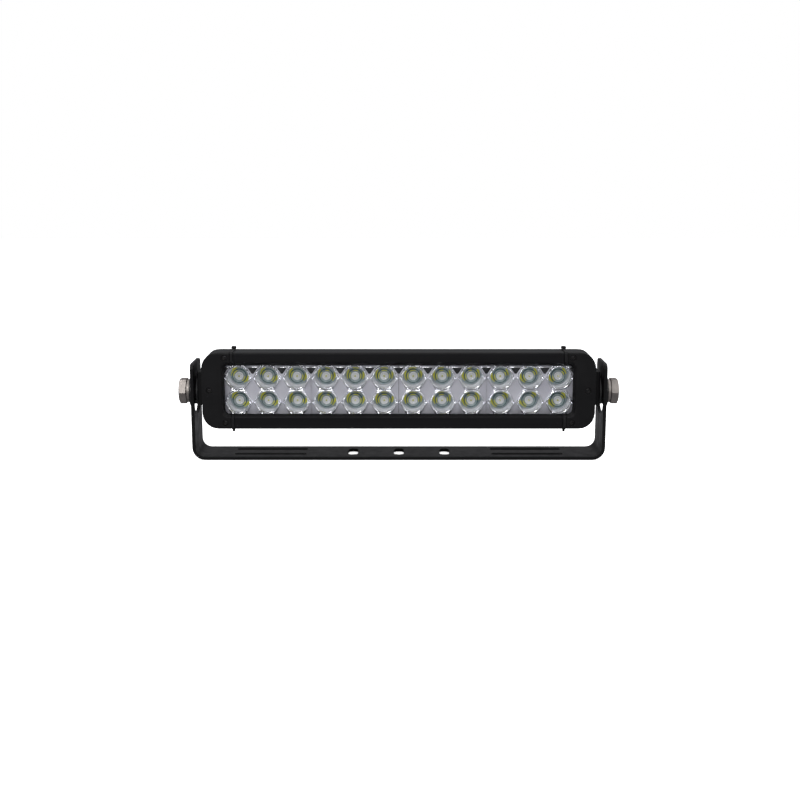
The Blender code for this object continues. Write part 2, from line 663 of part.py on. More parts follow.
def end_cap(side, name):
    """Cast end cap: rounded outer corners, a pocket for lens and reflectors, a pad for the pivot."""
    deep = FIN_TIP + 2 * MM
    front_view = [(side * CAP_INNER, -BODY_TOP)]
    centre_x = CAP_OUTER - CAP_RADIUS
    front_view += [(side * x, y) for x, y in
                   arc((centre_x, -BODY_TOP + CAP_RADIUS), CAP_RADIUS, -math.pi / 2, 0, 6)]
    front_view += [(side * x, y) for x, y in
                   arc((centre_x, BODY_TOP - CAP_RADIUS), CAP_RADIUS, 0, math.pi / 2, 6)]
    front_view.append((side * CAP_INNER, BODY_TOP))
    middle = at(0, deep / 2 - 1 * MM, 0)
    obj = piece("end_cap_" + name, flat([front_view], middle, deep, ALONG_Y), POWDER_BLACK)
    keep_within(obj, flat([cap_trim_profile()], at(side * CAP_OUTER / 2, 0, 0), CAP_OUTER + 10 * MM,
                          ALONG_X), "side_profile")

    pad_low = (PIVOT_SETBACK - PAD_DEPTH / 2, -PAD_HEIGHT / 2)
    pad_high = (PIVOT_SETBACK + PAD_DEPTH / 2, PAD_HEIGHT / 2)
    unite(obj, sided_block(side, CAP_OUTER - 4 * MM, PAD_OUTER, pad_low, pad_high, 1.0 * MM), "pad")
    cut(obj, window_cutter(), "window")

    inside = CAP_INNER - 1 * MM
    outer = CAP_OUTER - 2.5 * MM
    cut(obj, flat([pocket_outline(side, inside, outer)], at(0, (FACE_WALL + CLAMP_BACK + GAP) / 2, 0),
                  CLAMP_BACK + GAP - FACE_WALL, ALONG_Y), "clamp_pocket")
    board_end = REFLECTOR_LENGTH / 2 + 6 * MM
    cut(obj, sided_block(side, inside, board_end, (FACE_WALL + 2 * MM, -BOARD_HEIGHT / 2 - 1 * MM),
                         (WEB_FRONT, BOARD_HEIGHT / 2 + 1 * MM)), "board_pocket")
    cut(obj, sided_block(side, inside, board_end, (PORT_DEPTH - 3 * MM, -TUNNEL_INNER_TOP),
                         (TUNNEL_BACK, TUNNEL_INNER_TOP)), "rear_pocket")
    cut(obj, sided_block(side, board_end - 6 * MM, board_end - 0.1 * MM,
                         (WEB_FRONT - 2 * MM, -TUNNEL_INNER_TOP + 1 * MM),
                         (PORT_DEPTH, TUNNEL_INNER_TOP - 1 * MM)), "lead_passage")

    places = face_screw_places(side).values()
    cut(obj, rods(places, FACE_SCREW_HEAD + GAP, -1 * MM, 2.8 * MM), "screw_recesses")
    cut(obj, rods(places, FACE_SCREW_SHANK + GAP, 2 * MM, FACE_WALL + 1 * MM), "screw_holes")

    tie_hole = cylinder(TIE_SHANK + GAP, CAP_WIDTH + 4 * MM, 8)
    tie_recess = cylinder(TIE_HEAD + GAP, 10 * MM, 12)
    ties = []
    for sign in (-1, 1):
        ties.append((tie_hole, Matrix.Translation(at(side * (CAP_INNER - 2 * MM), PORT_DEPTH,
                                                     sign * PORT_LEVEL)) @ outward(side)))
    cut(obj, joined(ties), "tie_holes")
    recesses = [(tie_recess, Matrix.Translation(at(side * (CAP_OUTER - 3.8 * MM), PORT_DEPTH,
                                                   sign * PORT_LEVEL)) @ outward(side))
                for sign in (-1, 1)]
    cut(obj, joined(recesses), "tie_recesses")

    insert_hole = cylinder(INSERT_RADIUS + GAP, INSERT_LENGTH + 2 * MM)
    start = at(side * (PAD_OUTER - INSERT_LENGTH - GAP), PIVOT_SETBACK, -PIVOT_DROP)
    insert_hole.transform(Matrix.Translation(start) @ outward(side))
    cut(obj, insert_hole, "insert_hole")


def pocket_outline(side, inside, outer):
    """Front pocket of a cap in x and level, following the cap's round corners."""
    top = CHAMBER_TOP + 0.5 * MM
    radius = CAP_RADIUS - 2.5 * MM
    half = [(inside, top)] + arc((outer - radius, top - radius), radius, math.pi / 2, 0, 4)
    return [(side * x, y) for x, y in mirrored(half)]


def face_screw_places(side):
    """Three screws in a cap's face: one at mid height near the edge, one above and one below."""
    inset = side * (CAP_OUTER - FACE_SCREW_INSET)
    return {"middle": (side * (CAP_OUTER - FACE_SCREW_EDGE), 0), "upper": (inset, FACE_SCREW_LEVEL),
            "lower": (inset, -FACE_SCREW_LEVEL)}


def lens_clamp(side, name):
    """Plate behind the lens end; the face screws pull it forward against lens and seal."""
    outer = CAP_OUTER - 2.5 * MM - GAP
    top = CHAMBER_TOP + 0.5 * MM - GAP
    radius = CAP_RADIUS - 2.5 * MM - GAP
    inner = REFLECTOR_LENGTH / 2 + 2 * GAP
    step = REFLECTOR_BOTTOM + 2 * GAP
    half = [(inner, 0), (inner, step), (CAP_INNER + GAP, step), (CAP_INNER + GAP, top)]
    half += arc((outer - radius, top - radius), radius, math.pi / 2, 0, 4)
    outline = [(side * x, y) for x, y in mirrored(half)[1:-1]]
    holes = [arc(place, FACE_SCREW_SHANK + GAP, 0, 2 * math.pi * 7 / 8, 7)
             for place in face_screw_places(side).values()]
    middle = at(0, (REFLECTOR_FRONT + CLAMP_BACK) / 2, 0)
    piece("lens_clamp_" + name, flat([outline] + holes, middle, CLAMP_BACK - REFLECTOR_FRONT, ALONG_Y),
          STAINLESS)


def recessed_screw(head, head_height, shank, length):
    """Socket screw profile, head up, under-side of the head at height 0."""
    socket = head * 0.5
    floor = head_height * 0.45
    return turned([(0, floor), (socket, floor), (socket, head_height), (head, head_height), (head, 0),
                   (shank, 0), (shank, -length), (0, -length)], sides=8)


def cap_screws(side, name):
    for place, (x, level) in face_screw_places(side).items():
        screw = recessed_screw(FACE_SCREW_HEAD, 1.6 * MM, FACE_SCREW_SHANK, CLAMP_BACK - 3.4 * MM)
        screw.transform(Matrix.Translation(at(x, 2.5 * MM, level)) @ FACE_FRONT)
        piece("cap_screw_%s_%s" % (name, place), screw, BLACK_ZINC)


def tie_screws(side, name):
    """Long screws that pull a cap and its gasket against the housing."""
    for place, level in (("upper", PORT_LEVEL), ("lower", -PORT_LEVEL)):
        screw = recessed_screw(TIE_HEAD, 3.0 * MM, TIE_SHANK, TIE_LENGTH)
        seat = at(side * (CAP_OUTER - 3.5 * MM), PORT_DEPTH, level)
        screw.transform(Matrix.Translation(seat) @ outward(side))
        piece("tie_screw_%s_%s" % (name, place), screw, BLACK_ZINC)


# ---------------------------------------------------------------- optics and LED boards

def lens_and_seal():
    outline = rounded_rectangle((-LENS_HALF, -LENS_TOP), (LENS_HALF, LENS_TOP), 5 * MM, 3)
    margin = 0.8 * MM
    opening = rounded_rectangle((-WINDOW_HALF - margin, WINDOW_RISE - WINDOW_TOP - margin),
                                (WINDOW_HALF + margin, WINDOW_RISE + WINDOW_TOP + margin),
                                WINDOW_RADIUS, 3)
    piece("lens_seal", flat([outline, opening], at(0, SEAL_FRONT + SEAL_THICKNESS / 2, 0),
                            SEAL_THICKNESS, ALONG_Y), RUBBER_BLACK)
    piece("front_lens", flat([outline], at(0, (LENS_FRONT + LENS_BACK) / 2, 0), LENS_THICKNESS,
                             ALONG_Y), CLEAR)


def led_places(module):
    """(x, level) of each LED in a module, modules counted from the left."""
    first = module * MODULE_COLUMNS - (LED_COLUMNS - 1) / 2
    return [((first + column) * LED_PITCH, (row - (LED_ROWS - 1) / 2) * ROW_PITCH - OPTICS_DROP)
            for column in range(MODULE_COLUMNS) for row in range(LED_ROWS)]


def reflector(module):
    """Block of six chromed cups, each open at the back for its LED."""
    left = module * MODULE_LENGTH - REFLECTOR_LENGTH / 2
    low = at(left + GAP / 2, REFLECTOR_FRONT, -REFLECTOR_BOTTOM)
    high = at(left + MODULE_LENGTH - GAP / 2, REFLECTOR_BACK, REFLECTOR_TOP)
    obj = piece("reflector_%d" % (module + 1), block(low, high), CHROME)
    throat = EMITTER_RADIUS + GAP
    bowl = [(0, 1 * MM), (CUP_RADIUS, 1 * MM)]
    for step in range(3):
        radius = CUP_RADIUS + (throat - CUP_RADIUS) * step / 2
        share = (radius ** 2 - throat ** 2) / (CUP_RADIUS ** 2 - throat ** 2)
        bowl.append((radius, -(REFLECTOR_DEPTH - 1.5 * MM) * (1 - share)))
    bowl += [(throat, -REFLECTOR_DEPTH - 1 * MM), (0, -REFLECTOR_DEPTH - 1 * MM)]
    cup = turned(bowl, sides=14)
    cut(obj, joined([(cup, Matrix.Translation(at(x, REFLECTOR_FRONT, level)) @ FACE_FRONT)
                     for x, level in led_places(module)]), "cups")


def led_packages(side):
    """The LEDs of one board: round bases with clear domes, sunk a little so that they join it."""
    base = 1.8 * MM
    sunk = 0.4 * MM
    profile = [(DOME_RADIUS * math.sin(angle), base + DOME_RADIUS * math.cos(angle))
               for angle in (math.pi / 4 * step for step in range(3))]
    profile += [(EMITTER_RADIUS, base), (EMITTER_RADIUS, -sunk), (0, -sunk)]
    package = turned(profile, sides=8)
    places = [place for module in range(MODULES) for place in led_places(module)]
    return joined([(package, Matrix.Translation(at(x, BOARD_FRONT, level)) @ FACE_FRONT)
                   for x, level in places if x * side > 0])


def led_board(side, name):
    """Aluminium-core board with half of the LEDs soldered to it, screwed to the housing's web."""
    half = BOARD_HEIGHT / 2
    mesh = sided_block(side, GAP / 2, REFLECTOR_LENGTH / 2 - GAP / 2, (BOARD_FRONT, -half),
                       (BOARD_FRONT + BOARD_THICKNESS, half))
    obj = piece("led_board_" + name, mesh, WHITE_BOARD)
    unite(obj, led_packages(side), "leds")
    places = board_screw_places(side)
    cut(obj, rods(places.values(), BOARD_SCREW_SHANK + GAP, BOARD_FRONT - 1 * MM,
                  BOARD_FRONT + BOARD_THICKNESS + 1 * MM, 8), "screw_holes")
    length = SHOULDER_DEPTH - 1.0 * MM - BOARD_FRONT
    for place, (x, level) in places.items():
        screw = turned([(0, 1.7 * MM), (BOARD_SCREW_HEAD, 1.4 * MM), (BOARD_SCREW_HEAD, 0),
                        (BOARD_SCREW_SHANK, 0), (BOARD_SCREW_SHANK, -length), (0, -length)], sides=10)
        screw.transform(Matrix.Translation(at(x, BOARD_FRONT - GAP, level)) @ FACE_FRONT)
        piece("board_screw_%s_%s" % (name, place), screw, STAINLESS)
    pad = sided_block(side, 1 * MM, HOUSING_HALF - 1 * MM, (PAD_FRONT, -WINDOW_TOP),
                      (PAD_FRONT + THERMAL_PAD, WINDOW_TOP))
    piece("thermal_pad_" + name, pad, GREY_PAD)


# ---------------------------------------------------------------- driver in the rear tunnel

def driver():
    """Driver board in the tunnel's card grooves, with its parts on the rear side."""
    front = SHOULDER_DEPTH + 2.6 * MM + GAP
    seat = front + BOARD_THICKNESS + GAP
    edge = TUNNEL_INNER_TOP + 1.3 * MM - GAP
    half = DRIVER_LENGTH / 2
    board = piece("driver_board", block(at(-half, front, -edge), at(half, seat - GAP, edge)), GREEN_BOARD)
    reach = TUNNEL_BACK - 2 * MM - seat
    spool = turned([(0, reach), (7 * MM, reach), (7 * MM, reach - 2 * MM), (5.6 * MM, reach - 2 * MM),
                    (5.6 * MM, 2 * MM), (7 * MM, 2 * MM), (7 * MM, 0), (0, 0)], sides=20)
    can = cylinder(5 * MM, reach - 1 * MM, 16)
    rest = -half + 12 * MM
    for step in range(2):
        coil = joined([(spool, Matrix.Translation(at(rest + step * 18 * MM, seat, 0)) @ FACE_REAR)])
        piece("driver_inductor_%d" % (step + 1), coil, COPPER_COIL)
    for step in range(3):
        place = Matrix.Translation(at(rest + (36 + step * 13) * MM, seat, 0)) @ FACE_REAR
        piece("driver_capacitor_%d" % (step + 1), joined([(can, place)]), CAN)
    chips = []
    for step in range(2):
        for level in (-10 * MM, 2 * MM):
            low = at(rest + (76 + step * 11) * MM, seat - 2 * GAP, level)
            chips.append((block(low, low + Vector((9 * MM, 3 * MM, 8 * MM))), ALONG_Z))
    unite(board, joined(chips), "power_transistors")
    terminal = block(at(half - 8 * MM, seat, -10 * MM), at(half - 1 * MM, seat + 8 * MM, 10 * MM),
                     0.6 * MM, 1)
    piece("driver_terminal", terminal, NYLON_BLACK)


def led_leads():
    """Two wires from the driver's terminal, round the end of the web, to the right-hand LED board."""
    start = DRIVER_LENGTH / 2 - 0.6 * MM
    turn = REFLECTOR_LENGTH / 2 + 3.2 * MM
    back = SHOULDER_DEPTH + 9 * MM
    for sign, name in ((-1, "lower"), (1, "upper")):
        points = [at(start, back, sign * 3 * MM), at(start + 30 * MM, back + 3 * MM, sign * 8 * MM),
                  at(HOUSING_HALF, back + 1 * MM, sign * 10 * MM),
                  at(turn - 3 * MM, back - 1 * MM, sign * 10 * MM),
                  at(turn, SHOULDER_DEPTH + 1 * MM, sign * 10.5 * MM),
                  at(turn, WEB_FRONT - 3 * MM, sign * 14 * MM),
                  at(turn - 0.4 * MM, BOARD_FRONT - 2.4 * MM, sign * (REFLECTOR_TOP + 0.5 * MM)),
                  at(turn - 4 * MM, BOARD_FRONT - 2.2 * MM, sign * (REFLECTOR_TOP + 3 * MM)),
                  at(turn - 8 * MM, BOARD_FRONT - 1.2 * MM, sign * (REFLECTOR_TOP + 3.2 * MM))]
        piece("led_lead_" + name, wire(points, LEAD_RADIUS), LEAD_RED)


def cable_gland():
    """Gland at the rear: body through the wall, lock nut inside, sealing sleeve, clamping nut."""
    seat = Matrix.Translation(at(GLAND_X, MILLED_WALL + GAP, 0)) @ FACE_REAR
    flange = 4 * MM
    neck = flange + 6.7 * MM
    inside = TUNNEL_BACK - MILLED_WALL - 3.6 * MM
    throat = CABLE_RADIUS + 0.4 * MM
    sleeve = 5.2 * MM
    floor = flange - 1.3 * MM

    body = turned([(sleeve, neck), (GLAND_RADIUS + 1.2 * MM, neck), (GLAND_RADIUS + 1.2 * MM, flange / 2),
                   (GLAND_RADIUS, flange / 2), (GLAND_RADIUS, inside), (throat, inside),
                   (throat, floor), (sleeve, floor)], True, 20)
    body.transform(seat)
    obj = piece("gland_body", body, NYLON_BLACK)
    collar = joined([(hexagon_ring(10 * MM, GLAND_RADIUS - 0.4 * MM, flange), seat)])
    unite(obj, collar, "hex_collar")

    lock_nut = hexagon_ring(8.6 * MM, GLAND_RADIUS + GAP, 2.6 * MM)
    lock_nut.transform(Matrix.Translation(at(GLAND_X, TUNNEL_BACK - GAP, 0)) @ FACE_FRONT)
    piece("gland_lock_nut", lock_nut, BLACK_ZINC)

    seal = ring(CABLE_RADIUS, sleeve - GAP, neck - floor, 16)
    seal.transform(seat @ Matrix.Translation((0, 0, floor + GAP)))
    piece("gland_seal", seal, RUBBER_BLACK)

    end = GLAND_LENGTH
    shell = GLAND_RADIUS + 1.2 * MM + GAP
    nut = turned([(throat, end), (throat + 2.2 * MM, end), (shell + 1.8 * MM, end - 3 * MM),
                  (shell + 2.2 * MM, end - 6 * MM), (shell + 2.2 * MM, flange + GAP),
                  (shell, flange + GAP), (shell, neck + 1 * MM), (throat, end - 1.8 * MM)], True, 20)
    nut.transform(seat)
    piece("gland_nut", nut, NYLON_BLACK)


def hexagon_ring(radius, bore, height):
    """Hexagonal nut with a round bore, standing on the origin."""
    hexagon = arc((0, 0), radius, 0, 2 * math.pi * 5 / 6, 5)
    hole = arc((0, 0), bore, 0, 2 * math.pi * 19 / 20, 19)
    return flat([hexagon, hole], (0, 0, height / 2), height, ALONG_Z)


def breather_vent():
    """Membrane vent that lets the sealed lamp breathe."""
    stub = VENT_RADIUS / 2
    inside = TUNNEL_BACK - MILLED_WALL - 2.5 * MM
    vent = turned([(0, 3.6 * MM), (VENT_RADIUS - 1.5 * MM, 3.6 * MM), (VENT_RADIUS, 2.4 * MM),
                   (VENT_RADIUS, 0), (stub, 0), (stub, inside), (0, inside)], sides=20)
    vent.transform(Matrix.Translation(at(-GLAND_X, MILLED_WALL + GAP, 0)) @ FACE_REAR)
    piece("breather_vent", vent, NYLON_BLACK)


# ---------------------------------------------------------------- pivots

def pivot_hardware(side, name):
    """Insert, spacer, washers and bolt at one end, all on the pivot axis."""
    def on_axis(mesh, x):
        mesh.transform(Matrix.Translation((side * x, PIVOT_Y, PIVOT_Z)) @ outward(side))
        return mesh

    insert = ring(BOLT_HOLE, INSERT_RADIUS, INSERT_LENGTH - GAP)
    piece("thread_insert_" + name, on_axis(insert, PAD_OUTER - INSERT_LENGTH), STAINLESS)
    spacer = ring(BOLT_HOLE, SPACER_RADIUS, SPACER_THICKNESS)
    piece("pivot_spacer_" + name, on_axis(spacer, SPACER_INNER), NYLON_BLACK)
    washer = ring(BOLT_HOLE, WASHER_RADIUS, WASHER_THICKNESS)
    piece("flat_washer_" + name, on_axis(washer, WASHER_INNER), BLACK_ZINC)
    spring = ring(BOLT_HOLE, SPRING_WASHER_RADIUS, SPRING_WASHER_THICKNESS)
    obj = piece("spring_washer_" + name, on_axis(spring, SPRING_INNER), STAINLESS)
    split = block((BOLT_HOLE - 2 * MM, -0.6 * MM, -1 * MM),
                  (SPRING_WASHER_RADIUS + 1 * MM, 0.6 * MM, SPRING_WASHER_THICKNESS + 1 * MM))
    split.transform(Matrix.Rotation(math.radians(20), 4, "X"))
    cut(obj, on_axis(split, SPRING_INNER), "split")

    shank = turned([(0, 1 * MM), (BOLT_RADIUS, 1 * MM), (BOLT_RADIUS, -BOLT_LENGTH + 1 * MM),
                    (BOLT_RADIUS - 1 * MM, -BOLT_LENGTH), (0, -BOLT_LENGTH)], sides=20)
    obj = piece("pivot_bolt_" + name, on_axis(shank, HEAD_INNER), STAINLESS)
    head = cylinder(BOLT_FLATS / math.sqrt(3), BOLT_HEAD, 6)
    head.transform(Matrix.Rotation(math.pi / 6, 4, "Z"))
    unite(obj, on_axis(head, HEAD_INNER), "hex_head")


# ---------------------------------------------------------------- assembly

def main():
    bracket()
    housing()
    lens_and_seal()
    for module in range(MODULES):
        reflector(module)
    driver()
    led_leads()
    cable_gland()
    breather_vent()
    for side, name in SIDES:
        end_gasket(side, name)
        end_cap(side, name)
        lens_clamp(side, name)
        cap_screws(side, name)
        tie_screws(side, name)
        led_board(side, name)
        pivot_hardware(side, name)


main()
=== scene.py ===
"""The finished look of a two-row LED light bar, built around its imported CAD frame.

Metres, +Z up; the lamp shines towards -Y. Places and sizes come from the frame's own boxes.
"""

import json
import math
import random

import bmesh
import bpy
from mathutils import Matrix, Vector


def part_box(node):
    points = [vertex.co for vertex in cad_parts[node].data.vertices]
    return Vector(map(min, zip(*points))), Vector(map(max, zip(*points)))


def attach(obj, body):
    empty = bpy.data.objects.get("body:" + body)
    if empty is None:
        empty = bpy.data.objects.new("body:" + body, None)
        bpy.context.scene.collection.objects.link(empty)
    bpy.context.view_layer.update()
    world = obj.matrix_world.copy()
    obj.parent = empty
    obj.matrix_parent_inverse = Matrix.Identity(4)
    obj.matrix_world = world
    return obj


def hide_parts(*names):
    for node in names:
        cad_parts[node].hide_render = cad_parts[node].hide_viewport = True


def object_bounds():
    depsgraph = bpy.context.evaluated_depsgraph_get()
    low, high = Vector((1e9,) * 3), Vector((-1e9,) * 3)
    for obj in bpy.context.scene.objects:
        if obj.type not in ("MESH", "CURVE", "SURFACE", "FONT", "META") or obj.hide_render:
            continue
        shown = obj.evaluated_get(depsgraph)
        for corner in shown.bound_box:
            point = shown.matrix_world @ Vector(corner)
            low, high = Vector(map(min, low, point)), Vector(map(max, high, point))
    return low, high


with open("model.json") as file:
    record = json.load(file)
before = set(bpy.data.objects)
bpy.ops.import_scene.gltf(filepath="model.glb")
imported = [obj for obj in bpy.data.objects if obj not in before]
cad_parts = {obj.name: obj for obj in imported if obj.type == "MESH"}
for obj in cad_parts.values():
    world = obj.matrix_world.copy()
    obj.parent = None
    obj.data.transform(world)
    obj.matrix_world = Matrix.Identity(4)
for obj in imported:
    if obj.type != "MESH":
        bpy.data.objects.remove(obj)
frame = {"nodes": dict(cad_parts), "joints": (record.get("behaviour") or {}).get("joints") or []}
cad_low, cad_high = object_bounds()

MM = 0.001
SIDES = ((-1, "left"), (1, "right"))
NODES = frame["nodes"]
PIVOT = Vector(frame["joints"][0]["pos_m"])

housing_low, housing_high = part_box("housing")
FACE_Y = housing_low.y                                  # the lamp's front face
MIDDLE_Z = (housing_low.z + housing_high.z) / 2         # the lamp's mid height

COLUMNS = 12
ROWS = 2
MODULES = 4
LED_PITCH = 25.0 * MM
ROW_PITCH = 21.2 * MM
OPTICS_DROP = 1.0 * MM          # the two rows' middle, below the lamp's mid height
LED_LEVELS = [(row - (ROWS - 1) / 2) * ROW_PITCH - OPTICS_DROP for row in range(ROWS)]


def at(x, depth, level):
    """World position of a point of the lamp: depth behind its face, level above its middle."""
    return Vector((x, FACE_Y + depth, MIDDLE_Z + level))


# ---------------------------------------------------------------- node material helpers

def set_stops(node, stops):
    """Give a colour ramp its (position, colour) stops; a colour is a grey or three values."""
    elements = node.color_ramp.elements
    while len(elements) < len(stops):
        elements.new(0.5)
    for element, (position, colour) in zip(elements, stops):
        element.position = position
        element.color = (*colour, 1.0) if hasattr(colour, "__len__") else (colour, colour, colour, 1.0)


def seen_by_camera(tree, seen, otherwise, output):
    """Show one shader to the camera, and light the scene with another."""
    path = tree.nodes.new("ShaderNodeLightPath")
    mix = tree.nodes.new("ShaderNodeMixShader")
    tree.links.new(path.outputs["Is Camera Ray"], mix.inputs["Fac"])
    tree.links.new(otherwise, mix.inputs[1])
    tree.links.new(seen, mix.inputs[2])
    tree.links.new(mix.outputs["Shader"], output)


class Nodes:
    """A material's node tree, with short calls for the nodes that the finishes share."""

    def __init__(self, name):
        self.material = bpy.data.materials.new(name)
        self.material.use_nodes = True
        self.tree = self.material.node_tree
        self.shader = self.tree.nodes["Principled BSDF"]
        self.place = self.tree.nodes.new("ShaderNodeTexCoord").outputs["Object"]

    def link(self, source, target):
        self.tree.links.new(source, target)

    def stretched(self, scale):
        """The object's own coordinates, scaled by a vector."""
        mapping = self.tree.nodes.new("ShaderNodeMapping")
        mapping.inputs["Scale"].default_value = scale
        self.link(self.place, mapping.inputs["Vector"])
        return mapping.outputs["Vector"]

    def noise(self, scale, detail=3.0, stretch=None):
        node = self.tree.nodes.new("ShaderNodeTexNoise")
        node.inputs["Scale"].default_value = scale
        node.inputs["Detail"].default_value = detail
        self.link(self.stretched(stretch) if stretch else self.place, node.inputs["Vector"])
        return node.outputs["Fac"]

    def cells(self, scale):
        node = self.tree.nodes.new("ShaderNodeTexVoronoi")
        node.inputs["Scale"].default_value = scale
        self.link(self.place, node.inputs["Vector"])
        return node.outputs["Distance"]

    def blend(self, source, dark, light, low=0.3, high=0.7):
        """From one colour or grey to another, as a factor rises from low to high."""
        node = self.tree.nodes.new("ShaderNodeValToRGB")
        set_stops(node, ((low, dark), (high, light)))
        self.link(source, node.inputs["Fac"])
        return node.outputs["Color"]

    def bump(self, source, strength, distance, under=None):
        node = self.tree.nodes.new("ShaderNodeBump")
        node.inputs["Strength"].default_value = strength
        node.inputs["Distance"].default_value = distance
        self.link(source, node.inputs["Height"])
        if under:
            self.link(under, node.inputs["Normal"])
        return node.outputs["Normal"]

    def set(self, **values):
        """Set the shader's sockets, by name with _ for a space, to values or to other nodes' outputs."""
        for name, value in values.items():
            socket = self.shader.inputs[name.replace("_", " ")]
            if isinstance(value, bpy.types.NodeSocket):
                self.link(value, socket)
            else:
                socket.default_value = value


# ---------------------------------------------------------------- finishes

COAT_BLACK = (0.0035, 0.0035, 0.0038)
COAT_GLOSS = 0.11               # specular level of all the black coats


def powder_coat():
    """Black powder coat: orange peel and faint cloudiness."""
    made = Nodes("powder_coat")
    peel = made.bump(made.noise(1500.0, 2.0), 0.28, 0.12 * MM)
    made.set(Base_Color=made.blend(made.noise(38.0, 4.0), COAT_BLACK, (0.0058, 0.0058, 0.0062)),
             Roughness=made.blend(made.noise(120.0, 5.0), 0.36, 0.5),
             Specular_IOR_Level=COAT_GLOSS,
             Normal=made.bump(made.cells(900.0), 0.06, 0.1 * MM, peel))
    return made.material


def cast_coat():
    """The same coat over cast end caps, a little rougher."""
    made = Nodes("cast_coat")
    made.set(Base_Color=made.blend(made.noise(45.0, 4.0), COAT_BLACK, (0.006, 0.006, 0.0064)),
             Roughness=made.blend(made.noise(150.0, 5.0), 0.4, 0.54),
             Specular_IOR_Level=COAT_GLOSS,
             Normal=made.bump(made.noise(1100.0, 3.0), 0.32, 0.15 * MM))
    return made.material


def anodised():
    """Black anodised extrusion: fine die lines that run along the lamp."""
    made = Nodes("anodised_extrusion")
    lines = made.noise(900.0, 2.0, stretch=(0.012, 1.0, 1.0))
    broad = made.noise(60.0, 3.0, stretch=(0.05, 1.0, 1.0))
    made.set(Base_Color=made.blend(broad, (0.0035, 0.0035, 0.004), (0.0055, 0.0055, 0.0063)),
             Roughness=made.blend(lines, 0.33, 0.44),
             Specular_IOR_Level=COAT_GLOSS,
             Normal=made.bump(lines, 0.14, 0.05 * MM))
    return made.material


def rubber(name, colour, rough=0.62):
    """Moulded rubber: hardly any gloss, and a fine grain."""
    made = Nodes(name)
    lighter = tuple(min(1.0, c * 1.5 + 0.002) for c in colour)
    made.set(Base_Color=made.blend(made.noise(90.0, 4.0), colour, lighter),
             Roughness=made.blend(made.noise(260.0, 3.0), rough - 0.06, rough + 0.1),
             Specular_IOR_Level=0.15,
             Normal=made.bump(made.noise(2200.0, 2.0), 0.2, 0.08 * MM))
    return made.material


def nylon():
    """Moulded black nylon with a spark-eroded grain."""
    made = Nodes("moulded_nylon")
    made.set(Base_Color=made.blend(made.noise(70.0), (0.011, 0.011, 0.012), (0.017, 0.017, 0.018)),
             Roughness=made.blend(made.noise(300.0), 0.42, 0.56),
             Normal=made.bump(made.cells(1700.0), 0.16, 0.08 * MM))
    return made.material


def stainless():
    """Stainless steel, warm grey, with fine machining lines and light stains."""
    made = Nodes("stainless_steel")
    stain = made.noise(160.0, 5.0)
    made.set(Metallic=1.0,
             Base_Color=made.blend(stain, (0.2, 0.182, 0.168), (0.28, 0.258, 0.24), 0.25, 0.75),
             Roughness=made.blend(made.noise(700.0, 3.0, stretch=(4.0, 1.0, 1.0)), 0.42, 0.55),
             Normal=made.bump(made.noise(2400.0, 2.0, stretch=(3.0, 1.0, 1.0)), 0.12, 0.05 * MM))
    return made.material


def black_zinc():
    """Black zinc plate: dark metal with a thin sheen that thins out in spots."""
    made = Nodes("black_zinc")
    spots = made.noise(420.0, 4.0)
    made.set(Metallic=0.85,
             Base_Color=made.blend(spots, (0.018, 0.018, 0.019), (0.045, 0.043, 0.04), 0.35, 0.8),
             Roughness=made.blend(made.noise(600.0), 0.26, 0.42),
             Normal=made.bump(made.noise(1800.0), 0.12, 0.05 * MM))
    return made.material


def chrome():
    """Vacuum metallised plastic: a bright mirror with the slight waviness of its moulding."""
    made = Nodes("metallised_mirror")
    made.set(Metallic=1.0,
             Base_Color=made.blend(made.noise(55.0), (0.78, 0.79, 0.83), (0.86, 0.865, 0.89)),
             Roughness=made.blend(made.noise(240.0), 0.07, 0.13),
             Normal=made.bump(made.noise(260.0, 2.0), 0.05, 0.1 * MM))
    return made.material


def satin_metal():
    """The metallised plates between the cups: a fine moulded grain that looks satin."""
    made = Nodes("metallised_satin")
    grain = made.cells(1500.0)
    made.set(Metallic=1.0,
             Base_Color=made.blend(made.noise(80.0), (0.6, 0.6, 0.66), (0.7, 0.7, 0.75)),
             Roughness=made.blend(grain, 0.34, 0.5, 0.1, 0.7),
             Normal=made.bump(grain, 0.25, 0.08 * MM))
    return made.material


def lens_material():
    """Clear polycarbonate: nearly invisible, it adds a little gloss and hardly any haze."""
    made = Nodes("clear_polycarbonate")
    made.set(Base_Color=made.blend(made.noise(25.0), (0.02, 0.024, 0.026), (0.03, 0.034, 0.036)),
             Roughness=made.blend(made.noise(40.0), 0.03, 0.06),
             Alpha=made.blend(made.noise(30.0, 3.0), 0.05, 0.07))
    return made.material


def dome_material():
    """Clear silicone over the chip: a glossy bead that lets the chip through."""
    made = Nodes("clear_silicone")
    made.set(Base_Color=made.blend(made.noise(900.0), (0.5, 0.53, 0.54), (0.65, 0.67, 0.68)),
             Roughness=made.blend(made.noise(700.0), 0.04, 0.08),
             Alpha=made.blend(made.noise(500.0), 0.2, 0.3),
             Coat_Weight=0.6)
    return made.material


def plain(name, dark, light, rough, scale=120.0, metal=0.0):
    """A finish with cloudy colour, uneven gloss and a fine grain."""
    made = Nodes(name)
    made.set(Metallic=metal,
             Base_Color=made.blend(made.noise(scale, 4.0), dark, light),
             Roughness=made.blend(made.noise(scale * 3), rough - 0.07, rough + 0.07),
             Normal=made.bump(made.noise(1200.0), 0.15, 0.1 * MM))
    return made.material


